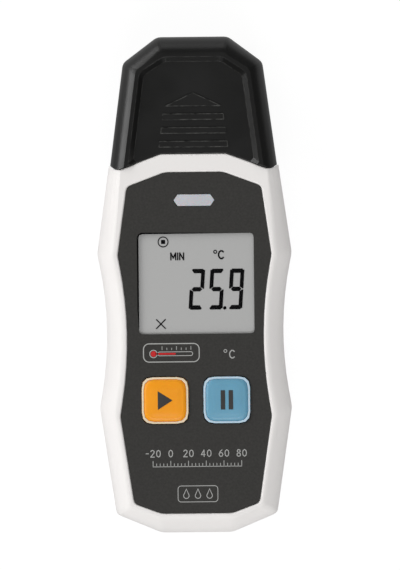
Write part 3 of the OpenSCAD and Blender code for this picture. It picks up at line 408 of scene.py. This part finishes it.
def placed_piece(name, edit, finish, body, smooth=30, crisp=False):
    """A new piece from a mesh that is still being edited."""
    mesh = bpy.data.meshes.new(name)
    edit.to_mesh(mesh)
    edit.free()
    mesh.materials.append(MATERIALS[finish])
    obj = bpy.data.objects.new(name, mesh)
    bpy.context.scene.collection.objects.link(obj)
    shaded(obj, smooth, crisp)
    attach(obj, body)
    return obj


def domed(edit):
    """Lets the level top of a key fall away softly to its sides, in two steps."""
    tops = [f for f in edit.faces if f.normal.z > LEVEL]
    level = max(f.calc_center_median().z for f in tops)
    highest_tops = [f for f in tops if f.calc_center_median().z > level - LEVEL_SLACK]
    top = max(highest_tops, key=lambda f: f.calc_area())
    bmesh.ops.inset_region(edit, faces=[top], thickness=KEY_BANDS[0], use_even_offset=True)
    middle_ring = set(top.verts)
    bmesh.ops.inset_region(edit, faces=[top], thickness=KEY_BANDS[1], use_even_offset=True)
    for vert in edit.verts:
        if vert in top.verts or vert.co.z < level - KEY_EDGE_DEPTH:
            continue
        vert.co.z -= KEY_DROPS[1] if vert in middle_ring else KEY_DROPS[0]


def rim_edges(edit, level):
    """Sharp edges that lie in one level."""
    return [e for e in corner_edges(edit, RIM_ANGLE)
            if all(abs(v.co.z - level) < LEVEL_SLACK for v in e.verts)]


def outer_loop(edit, level):
    """The sharp edges in one level that join up with the one farthest out along X."""
    edges = rim_edges(edit, level)
    around = {}
    for edge in edges:
        for vert in edge.verts:
            around.setdefault(vert, []).append(edge)
    reached = [max(around, key=lambda v: v.co.x)]
    loop = set()
    while reached:
        for edge in around[reached.pop()]:
            if edge not in loop:
                loop.add(edge)
                reached.extend(edge.verts)
    return list(loop)


def notched(edit, level, width):
    """Slopes the outer edge of one level, so that a fine line shows where the two shells meet."""
    above = min(v.co.z for v in edit.verts) > level - width
    beyond = level + width if above else level - width
    everything = edit.verts[:] + edit.edges[:] + edit.faces[:]
    bmesh.ops.bisect_plane(edit, geom=everything, plane_co=(0, 0, beyond), plane_no=(0, 0, 1),
                           dist=width / 100)
    # short steps of the outline are joined and the level face is split first, so nothing folds over
    edit.verts.index_update()
    steps = {vert for edge in outer_loop(edit, level) for vert in edge.verts}
    bmesh.ops.remove_doubles(edit, verts=sorted(steps, key=lambda v: v.index), dist=width)
    flat = [f for f in edit.faces if all(abs(v.co.z - level) < LEVEL_SLACK for v in f.verts)]
    bmesh.ops.triangulate(edit, faces=flat)
    sides = {}
    for edge in outer_loop(edit, level):
        side = next(f.normal.copy() for f in edge.link_faces if abs(f.normal.z) < LOOKS_ALONG)
        for vert in edge.verts:
            sides.setdefault(vert, []).append(side)
    for vert, normals in sides.items():
        # only sides that look away from the middle, and not the shoulder and the neck under the cap
        seen = [n for n in normals if n.y < LOOKS_ALONG and n.dot(vert.co) > 0]
        on_neck = vert.co.y > NECK_FROM and abs(vert.co.x) <= NECK_HALF
        if seen and len(normals) == 2 and not on_neck:
            out = sum(seen, Vector())
            vert.co -= out * (width * len(seen) / out.length_squared)


def rounded(edit, edges, width, segments):
    """Rounds the given edges."""
    bmesh.ops.bevel(edit, geom=edges, offset=width, offset_type="OFFSET", segments=segments,
                    profile=0.5, affect="EDGES", clamp_overlap=True)


def dressed(node, width=0.0, least=40, segments=2, smooth=30, rim=0.0, seam=0.0, soft_top=False,
            crisp=False):
    """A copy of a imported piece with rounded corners, which replaces it.

    The width is for all corners of more than least degrees, the rim is for the corners round the top
    level alone, and the seam is for the line where the two shells meet. A soft top falls away to its
    sides, and a crisp piece keeps its corners between sides sharp.
    """
    edit = bmesh.new()
    edit.from_mesh(NODES[node].data)
    cleaned(edit)
    if soft_top:
        domed(edit)
    if width:
        rounded(edit, corner_edges(edit, least), width, segments)
    if rim:
        rounded(edit, rim_edges(edit, max(v.co.z for v in edit.verts)), rim, segments)
    if seam:
        notched(edit, SPLIT_LEVEL, seam)
    bmesh.ops.recalc_face_normals(edit, faces=edit.faces)
    slot = NODE_SLOT[node]
    finish = NODE_MATERIAL.get(node, slot)
    obj = placed_piece(node + "_dressed", edit, finish, NODE_BODY[node], smooth, crisp)
    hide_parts(node)


# Printed shapes, in millimetres: their thickness, and how much the strokes of a letter differ in it
PRINT_THICK, PRINT_STEP = 0.02, 0.001
# How far a stroke reaches past its ends, as a share of half its width
STROKE_END_SHARE = 0.6


class Print:
    """Flat shapes raised a little from a level surface, gathered into one piece; sizes in millimetres."""

    def __init__(self, centre, lean=0.0):
        self.edit = bmesh.new()
        self.centre = centre
        self.lean = lean

    def wall(self, loop, other, thick):
        """A closed band or plate: loop alone gives a plate, two loops give a ring."""
        def point(p, z):
            x = self.centre[0] + p[0] * MM + self.lean * p[1] * MM
            return self.edit.verts.new((x, self.centre[1] + p[1] * MM, self.centre[2] + z * MM))
        n = len(loop)
        low = [point(p, 0) for p in loop]
        top = [point(p, thick) for p in loop]
        for i in range(n):
            k = (i + 1) % n
            self.edit.faces.new((low[i], low[k], top[k], top[i]))
        if not other:
            self.edit.faces.new(top)
            self.edit.faces.new(low[::-1])
            return
        low_in = [point(p, 0) for p in other]
        top_in = [point(p, thick) for p in other]
        for i in range(n):
            k = (i + 1) % n
            self.edit.faces.new((low_in[k], low_in[i], top_in[i], top_in[k]))
            self.edit.faces.new((top[i], top[k], top_in[k], top_in[i]))
            self.edit.faces.new((low[k], low[i], low_in[i], low_in[k]))

    def plate(self, points, thick=PRINT_THICK):
        """A filled shape."""
        self.wall(points, None, thick)

    def line(self, points, width, thick=PRINT_THICK):
        """A line with square ends along points, mitred where it bends."""
        left, right = offset_path(points, width / 2)
        self.wall(left + right[::-1], None, thick)

    def stroke(self, a, b, width, thick=PRINT_THICK):
        """A straight line whose ends reach a little past the two points."""
        long = math.hypot(b[0] - a[0], b[1] - a[1])
        u = ((b[0] - a[0]) / long, (b[1] - a[1]) / long)
        h = width / 2
        k = h * STROKE_END_SHARE
        self.plate([(a[0] - k * u[0] + h * u[1], a[1] - k * u[1] - h * u[0]),
                    (b[0] + k * u[0] + h * u[1], b[1] + k * u[1] - h * u[0]),
                    (b[0] + k * u[0] - h * u[1], b[1] + k * u[1] + h * u[0]),
                    (a[0] - k * u[0] - h * u[1], a[1] - k * u[1] + h * u[0])], thick)

    def loop(self, points, width, thick=PRINT_THICK):
        """A closed line of the given width, inside points that run anticlockwise."""
        self.wall(points, inset(points, width), thick)

    def dot(self, x, y, radius, thick=PRINT_THICK):
        self.plate(circle(x, y, radius), thick)

    def ring(self, x, y, radius, width, thick=PRINT_THICK):
        self.wall(circle(x, y, radius), circle(x, y, radius - width), thick)

    def done(self, name, finish):
        """Makes the piece, which rides on the case."""
        bmesh.ops.recalc_face_normals(self.edit, faces=self.edit.faces)
        placed_piece(name, self.edit, finish, "case")


def circle(x, y, radius, steps=40, start=0.0, turn=2 * math.pi):
    return [(x + radius * math.cos(start + turn * i / steps),
             y + radius * math.sin(start + turn * i / steps)) for i in range(steps)]


# A mitre is made no longer than where the two sides' directions have this much in common
MITRE_LIMIT = 0.5


def bend_side(a, p, b):
    """Leftward offset at p, on a path from a over p to b, that keeps a line's width in the bend."""
    def left(u, v):
        d = math.hypot(v[0] - u[0], v[1] - u[1])
        return (-(v[1] - u[1]) / d, (v[0] - u[0]) / d)
    m = left(a, p) if a else left(p, b)
    k = left(p, b) if b else m
    share = 1 + m[0] * k[0] + m[1] * k[1]
    share = max(share, MITRE_LIMIT)
    return ((m[0] + k[0]) / share, (m[1] + k[1]) / share)


def offset_path(points, by):
    last = len(points) - 1
    sides = [bend_side(points[i - 1] if i else None, p, points[i + 1] if i < last else None)
             for i, p in enumerate(points)]
    return ([(p[0] + by * s[0], p[1] + by * s[1]) for p, s in zip(points, sides)],
            [(p[0] - by * s[0], p[1] - by * s[1]) for p, s in zip(points, sides)])


def inset(points, by):
    """An anticlockwise outline moved inwards."""
    n = len(points)
    sides = [bend_side(points[i - 1], p, points[(i + 1) % n]) for i, p in enumerate(points)]
    return [(p[0] + by * s[0], p[1] + by * s[1]) for p, s in zip(points, sides)]


def rounded_box(x, y, w, h, radius, steps=8):
    """An anticlockwise outline of a rectangle with round corners."""
    points = []
    for sx, sy, start in ((1, 1, 0), (-1, 1, 90), (-1, -1, 180), (1, -1, 270)):
        cx, cy = x + sx * (w / 2 - radius), y + sy * (h / 2 - radius)
        for i in range(steps + 1):
            a = math.radians(start + 90 * i / steps)
            points.append((cx + radius * math.cos(a), cy + radius * math.sin(a)))
    return points


# Plain line letters and numbers in a box one high and up to 0.7 wide
GLYPHS = {
    "M": [[(0, 0), (0, 1), (0.35, 0.25), (0.7, 1), (0.7, 0)]],
    "I": [[(0, 0), (0, 1)]],
    "N": [[(0, 0), (0, 1), (0.56, 0), (0.56, 1)]],
    "C": [[(0.6, 0.84), (0.47, 0.97), (0.28, 1), (0.1, 0.86), (0, 0.62), (0, 0.38), (0.1, 0.14),
           (0.28, 0), (0.47, 0.03), (0.6, 0.16)]],
    "0": [[(0.28, 0), (0.06, 0.16), (0, 0.5), (0.06, 0.84), (0.28, 1), (0.5, 0.84), (0.56, 0.5),
           (0.5, 0.16), (0.3, 0.002)]],
    "2": [[(0.02, 0.8), (0.14, 0.97), (0.34, 1), (0.52, 0.86), (0.5, 0.62), (0, 0), (0.56, 0)]],
    "4": [[(0.42, 0), (0.42, 1), (0, 0.3), (0.58, 0.3)]],
    "6": [[(0.46, 1), (0.16, 0.7), (0, 0.34), (0.12, 0.06), (0.3, 0), (0.5, 0.1), (0.56, 0.3),
           (0.46, 0.52), (0.28, 0.58), (0.07, 0.46)]],
    "8": [[(0.28, 0.54), (0.07, 0.7), (0.1, 0.93), (0.28, 1), (0.46, 0.93), (0.49, 0.7), (0.28, 0.54),
           (0.02, 0.34), (0.06, 0.08), (0.28, 0), (0.5, 0.08), (0.54, 0.34), (0.29, 0.535)]],
    "-": [[(0.05, 0.5), (0.42, 0.5)]],
}


def write(drawing, words, x, y, height, width, spread=1.0, gap=0.3):
    """Writes line letters with the given centre, height and line width.

    Strokes that cross differ a little in thickness, so that no two top faces lie in one plane.
    """
    at = []
    reach = 0.0
    for letter in words:
        wide = max(p[0] for line in GLYPHS[letter] for p in line)
        at.append(reach)
        reach += wide + gap
    scale = height - width
    left = x - (reach - gap) * scale * spread / 2
    for letter, start in zip(words, at):
        for line in GLYPHS[letter]:
            path = [(left + (start + p[0]) * scale * spread, y + (p[1] - 0.5) * scale) for p in line]
            for i, (a, b) in enumerate(zip(path, path[1:])):
                drawing.stroke(a, b, width, PRINT_THICK + PRINT_STEP * (i % 3))


def show_camera(distance, picture_height, centre, turn):
    """A camera straight above the display, with the cap at the top of the picture."""
    data = bpy.data.cameras.new("camera")
    data.sensor_width = 36
    data.lens = data.sensor_width * distance / picture_height
    data.clip_start, data.clip_end = 0.05, 10
    camera = bpy.data.objects.new("camera", data)
    camera.location = centre + Vector((0, 0, distance))
    camera.rotation_euler = (0, 0, turn)
    bpy.context.scene.collection.objects.link(camera)
    bpy.context.scene.camera = camera


def area_lamp(name, place, wide, tall, power):
    """A soft lamp that points at the object; wide is its level side."""
    data = bpy.data.lights.new(name, "AREA")
    data.shape = "RECTANGLE"
    data.size, data.size_y = wide, tall
    data.energy = power
    lamp = bpy.data.objects.new(name, data)
    lamp.location = place
    lamp.rotation_euler = Vector(place).to_track_quat("Z", "Y").to_euler()
    bpy.context.scene.collection.objects.link(lamp)


def highest(tree, sockets):
    """The largest of several values."""
    best = sockets[0]
    for other in sockets[1:]:
        pick = tree.nodes.new("ShaderNodeMath")
        pick.operation = "MAXIMUM"
        tree.links.new(best, pick.inputs[0])
        tree.links.new(other, pick.inputs[1])
        best = pick.outputs[0]
    return best


def world_light(level, mirrored, shown):
    """An even pale surrounding: level lights the object, mirrored is reflected and shown is seen."""
    world = bpy.data.worlds.new("surrounding")
    world.use_nodes = True
    bpy.context.scene.world = world
    tree = world.node_tree
    background = tree.nodes["Background"]
    background.inputs["Color"].default_value = (1, 1, 1, 1)
    path = tree.nodes.new("ShaderNodeLightPath")
    strength = tree.nodes.new("ShaderNodeMapRange")
    strength.inputs["To Min"].default_value = level
    strength.inputs["To Max"].default_value = mirrored
    tree.links.new(path.outputs["Is Glossy Ray"], strength.inputs["Value"])
    seen = tree.nodes.new("ShaderNodeMix")
    seen.inputs[VALUE_B].default_value = shown
    tree.links.new(strength.outputs["Result"], seen.inputs[VALUE_A])
    direct = [path.outputs["Is Camera Ray"], path.outputs["Is Transmission Ray"]]
    tree.links.new(highest(tree, direct), seen.inputs[0])
    tree.links.new(seen.outputs[VALUE_OUT], background.inputs["Strength"])


def blended(tree, shader, other, share):
    """A mix of two shaders by a share."""
    mix = tree.nodes.new("ShaderNodeMixShader")
    tree.links.new(share, mix.inputs[0])
    tree.links.new(shader, mix.inputs[1])
    tree.links.new(other, mix.inputs[2])
    return mix.outputs[0]


# The floor's colour, the strength at which it glows to the camera, and how much of its look that is
FLOOR_WHITE, FLOOR_GLOW, FLOOR_GLOW_SHARE = 0.97, 1.04, 0.9


def floor(width, drop, mirrored, mirrored_far, far_from, far_to, open_below):
    """A white ground that reads as lit paper to the camera and still takes the object's shadow.

    It mirrors more light beyond the cap, and is open from below, so that the back can be looked at.
    """
    mesh = bpy.data.meshes.new("floor")
    edit = bmesh.new()
    bmesh.ops.create_grid(edit, x_segments=1, y_segments=1, size=width / 2)
    edit.to_mesh(mesh)
    edit.free()
    obj = bpy.data.objects.new("floor", mesh)
    obj.location.z = -drop
    bpy.context.scene.collection.objects.link(obj)
    material = bpy.data.materials.new("floor")
    material.use_nodes = True
    tree = material.node_tree
    tree.nodes.clear()
    path = tree.nodes.new("ShaderNodeLightPath")
    paper = tree.nodes.new("ShaderNodeBsdfDiffuse")
    paper.inputs["Color"].default_value = (FLOOR_WHITE, FLOOR_WHITE, FLOOR_WHITE, 1)
    glow = tree.nodes.new("ShaderNodeEmission")
    glow.inputs["Strength"].default_value = FLOOR_GLOW
    direct = [path.outputs[kind] for kind in ("Is Camera Ray", "Is Transmission Ray")]
    share = tree.nodes.new("ShaderNodeMath")
    share.operation = "MULTIPLY"
    share.inputs[1].default_value = FLOOR_GLOW_SHARE
    tree.links.new(highest(tree, direct), share.inputs[0])
    lit = blended(tree, paper.outputs[0], glow.outputs[0], share.outputs[0])

    place = tree.nodes.new("ShaderNodeSeparateXYZ")
    tree.links.new(tree.nodes.new("ShaderNodeTexCoord").outputs["Object"], place.inputs[0])
    beyond = tree.nodes.new("ShaderNodeMapRange")
    beyond.inputs["From Min"].default_value = far_from
    beyond.inputs["From Max"].default_value = far_to
    beyond.inputs["To Min"].default_value = mirrored
    beyond.inputs["To Max"].default_value = mirrored_far
    tree.links.new(place.outputs["Y"], beyond.inputs["Value"])
    dim = tree.nodes.new("ShaderNodeEmission")
    tree.links.new(beyond.outputs["Result"], dim.inputs["Strength"])
    above = blended(tree, lit, dim.outputs[0], path.outputs["Is Glossy Ray"])

    close = tree.nodes.new("ShaderNodeMath")
    close.operation = "LESS_THAN"
    close.inputs[1].default_value = open_below
    tree.links.new(path.outputs["Ray Length"], close.inputs[0])
    behind = tree.nodes.new("ShaderNodeNewGeometry").outputs["Backfacing"]
    clear = tree.nodes.new("ShaderNodeBsdfTransparent")
    last = blended(tree, above, clear.outputs[0], highest(tree, [behind, close.outputs[0]]))
    out = tree.nodes.new("ShaderNodeOutputMaterial")
    tree.links.new(last, out.inputs["Surface"])
    mesh.materials.append(material)


SEAM = 0.15 * MM
KEY = dict(width=0.28 * MM, least=20, segments=4, soft_top=True)
KEY_RIM = dict(width=0.12 * MM, segments=3)
KEY_MARK = dict(width=0.03 * MM, segments=1)
# Pieces whose corners are rounded, and how
DRESSED = {
    "usb_cap": dict(width=0.18 * MM, least=24, segments=3, crisp=True),
    "front_housing": dict(rim=0.34 * MM, segments=3, smooth=42, seam=SEAM),
    "rear_housing": dict(seam=SEAM),
    "panel_overlay": dict(width=0.04 * MM, segments=1),
    "display_window": dict(width=0.08 * MM),
    "led_window": dict(width=0.12 * MM),
    "start_key": KEY,
    "stop_key": KEY,
    "start_key_rim": KEY_RIM,
    "stop_key_rim": KEY_RIM,
    "start_key_mark": KEY_MARK,
    "stop_key_mark": KEY_MARK,
    "battery_door": dict(width=0.15 * MM),
    "usb_plug_shell": dict(width=0.06 * MM),
    "usb_plug_tongue": dict(width=0.08 * MM),
    "usb_contacts": dict(width=0.04 * MM, segments=1),
    "housing_screws": dict(width=0.08 * MM),
    "cap_seal": dict(width=0.06 * MM),
}
for name, how in DRESSED.items():
    dressed(name, **how)


def top_of(node):
    low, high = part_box(node)
    return Vector((middle((low[0], high[0])), middle((low[1], high[1])), high[2]))


# Places in metres: the middle of the display, just above its glass, and the panel's level in the middle
WINDOW_TOP = top_of("display_window")
DISPLAY = Vector((WINDOW_TOP.x, WINDOW_TOP.y, top_of("lcd_glass").z + PRINT_THICK * MM))
PANEL = Vector((0, 0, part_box("panel_overlay")[1][2]))
# The display's numbers, in millimetres: size, pitch, and how far their tops lean per height
DIGIT_W, DIGIT_H, DIGIT_PITCH = 2.84, 8.05, 3.88
DIGIT_LEAN = 0.068
# Thickness of the level bars and of the posts, the slit between them, and how their ends are cut
BAR, POST, SLIT = 0.86, 0.76, 0.05
END_CUT, END_SIDE = 0.12, 0.14
# Corners of a level bar's slanted end: shares of the post's thickness, and the last of the bar's own
TIP_SHARE, ROOT_SHARE, INNER_SHARE, RISE_SHARE = 0.32, 0.52, 0.9, 0.3
# How far the slanted end of a post reaches along it, as a share of the bar's thickness
SLANT_SHARE = 0.75
SEGMENTS = {"2": "abged", "5": "afgcd", "9": "abfgcd"}


def segment(kind, x, y):
    """One bar of a number whose lower left corner is at x, y."""
    w, h, b, p, s = DIGIT_W, DIGIT_H, BAR, POST, SLIT
    half = h / 2
    g = b / 2
    tip, root, inner, rise = TIP_SHARE * p, ROOT_SHARE * p, INNER_SHARE * p, RISE_SHARE * b
    flat = [(tip, rise), (root, 0), (w - root, 0), (w - tip, rise), (w - inner, b), (inner, b)]
    if kind == "a":
        pts = [(q[0], h - q[1]) for q in flat]
    elif kind == "d":
        pts = flat
    elif kind == "g":
        pts = [(p / 2, half), (p, half - g), (w - p, half - g), (w - p / 2, half),
               (w - p, half + g), (p, half + g)]
    else:
        left = kind in "ef"
        upper = kind in "bf"
        slant = b * SLANT_SHARE
        y0 = half + s if upper else s + END_CUT
        y1 = h - s - END_CUT if upper else half - s
        inner0 = y0 + (g if upper else slant)
        inner1 = y1 - (slant if upper else g)
        pts = [(0, y0 + END_CUT), (END_SIDE, y0), (p, inner0),
               (p, inner1), (END_SIDE, y1), (0, y1 - END_CUT)]
        if not left:
            pts = [(w - q[0], q[1]) for q in pts]
    return [(x + q[0], y + q[1]) for q in pts]


def display_numbers():
    """Three numbers of bars, with a point before the last."""
    first_corner = Vector((-1.60, -5.15, 0)) * MM
    numbers = Print(DISPLAY + first_corner, lean=DIGIT_LEAN)
    for place, number in enumerate("259"):
        for kind in SEGMENTS[number]:
            numbers.plate(segment(kind, place * DIGIT_PITCH, 0))
    numbers.dot(x=7.14, y=0.3, radius=0.33)
    numbers.done("display_numbers", "segment_black")


def display_signs():
    """A ringed square, a word, a unit and a cross; places from the middle of the display."""
    signs = Print(DISPLAY)
    ring_x, ring_y = -6.48, 8.29
    signs.ring(ring_x, ring_y, radius=1.08, width=0.21)
    signs.plate(rounded_box(ring_x, ring_y, w=0.82, h=0.82, radius=0.12, steps=3))
    write(signs, "MIN", x=-3.72, y=5.41, height=1.64, width=0.26, spread=0.98)
    signs.ring(x=3.80, y=6.24, radius=0.4, width=0.2)
    write(signs, "C", x=4.93, y=5.66, height=1.86, width=0.31)
    left, right, low, high = -8.01, -6.13, -8.85, -6.97
    signs.line([(left, high), (right, low)], width=0.23)
    signs.line([(left, low), (right, high)], width=0.23)
    signs.done("display_signs", "segment_black")


def painted_opening_shadow():
    """A painted shadow: a black plate on the panel along the left and far sides of the display's opening,
    where the opening's wall would throw shade.
    """
    low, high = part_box("display_window")
    left, far = -size((low[0], high[0])) / 2 / MM, size((low[1], high[1])) / 2 / MM
    edge = Print(Vector((DISPLAY.x, DISPLAY.y, PANEL.z)))
    # Painted shadow: the plate stands in for the shade inside the opening's left and far walls
    edge.plate([(left - 0.1, 1 - far), (left, 1 - far), (left, far - 0.75), (left + 0.2, far - 0.22),
                (left + 0.75, far), (-0.5 * left, far + 0.04), (-0.1 * left, far + 0.18),
                (left + 0.5, far + 0.3), (left, far), (left - 0.32, far - 0.6), (left - 0.32, 5 - far)],
               thick=PRINT_THICK / 2)
    edge.done("painted_opening_shadow", "segment_black")


# The thermometer's bulb and the height of its tube, in millimetres from the middle of the object
BULB_X, TUBE_Y = -8.3, -13.6


def thermometer(marks):
    """A thermometer on its side with ticks, in a rounded frame."""
    marks.loop(rounded_box(x=-4.77, y=-13.4, w=11.2, h=3.8, radius=1.2), width=0.2)
    marks.ring(BULB_X, TUBE_Y, radius=0.82, width=0.16)
    marks.loop(rounded_box(x=-4.0, y=TUBE_Y, w=7.0, h=0.9, radius=0.44), width=0.14)
    ticks, first, pitch, foot = 7, -6.6, 0.95, -12.85
    for i in range(ticks):
        x = first + pitch * i
        marks.line([(x, foot), (x, foot + (0.75 if i % 3 == 0 else 0.45))], width=0.12)


def unit_sign(marks):
    """The sign for degrees Celsius."""
    marks.ring(x=5.9, y=-13.15, radius=0.36, width=0.15)
    write(marks, "C", x=7.2, y=-13.8, height=1.75, width=0.22)


def temperature_scale(marks):
    """A line of ticks with a number at every fifth."""
    ticks, left, pitch, foot, overhang, width = 26, -8.6, 0.7, -35.9, 0.07, 0.13
    for i in range(ticks):
        x = left + pitch * i
        marks.line([(x, foot), (x, foot + (1.15 if i % 5 == 0 else 0.65))], width)
    marks.line([(left - overhang, foot), (left + pitch * (ticks - 1) + overhang, foot)], width)
    for i, number in enumerate(("-20", "0", "20", "40", "60", "80")):
        write(marks, number, left + pitch * 5 * i, y=-33.3, height=1.5, width=0.17, gap=0.32)


def drops(marks):
    """Three drops in a thin frame."""
    middle_x, pitch, round_y, tip_y = 0.2, 2.3, -41.65, -40.2
    marks.loop(rounded_box(middle_x, y=-41.3, w=8.0, h=3.3, radius=0.7), width=0.14)
    for i in (-1, 0, 1):
        x = middle_x + pitch * i
        drop = circle(x, round_y, radius=0.62, steps=22, start=math.radians(140), turn=math.radians(268))
        marks.loop([(x, tip_y)] + drop, width=0.15)


def panel_marks():
    """The plain marks printed on the panel, in millimetres from the middle of the object."""
    marks = Print(PANEL)
    thermometer(marks)
    unit_sign(marks)
    temperature_scale(marks)
    drops(marks)
    marks.done("panel_marks", "print_grey")


def thermometer_column():
    """The red column of the thermometer."""
    column = Print(PANEL)
    column.dot(BULB_X, TUBE_Y, radius=0.56)
    column.plate(rounded_box(x=-5.9, y=TUBE_Y, w=4.0, h=0.36, radius=0.17))
    column.done("thermometer_column", "print_red")


display_numbers()
display_signs()
# Painted shadow along the left and far sides of the display's opening
painted_opening_shadow()
panel_marks()
thermometer_column()

HEIGHT, CAP_END = CAD_BOX[1][2], CAD_BOX[1][1]
bpy.context.scene.view_settings.view_transform = "Standard"
show_camera(distance=2.5, picture_height=0.11289, centre=Vector((0.001026, -0.00008, HEIGHT / 2)),
            turn=math.radians(-0.598))
floor(width=4, drop=0.0001, mirrored=0.35, mirrored_far=0.6, far_from=CAP_END - 0.01,
      far_to=CAP_END + 0.01, open_below=0.001)
world_light(level=0.36, mirrored=0.1, shown=1.0)
# Lamps: place and size in metres, the level side first, and power in watts
LAMPS = {
    "left_softbox": ((-0.9, 0.12, 0.42), 0.45, 0.5, 3.0),
    "near_softbox": ((0.06, -0.72, 1.08), 0.75, 0.67, 6.7),
    "low_softbox": ((0.0, -1.2, 0.55), 0.5, 0.3, 1.0),
    "far_softbox": ((0.05, 1.2, 0.35), 0.6, 0.5, 1.0),
    "corner_softbox": ((-0.7, 0.8, 0.48), 0.5, 0.55, 2.9),
}
for name, (place, wide, tall, power) in LAMPS.items():
    area_lamp(name, place, wide, tall, power)
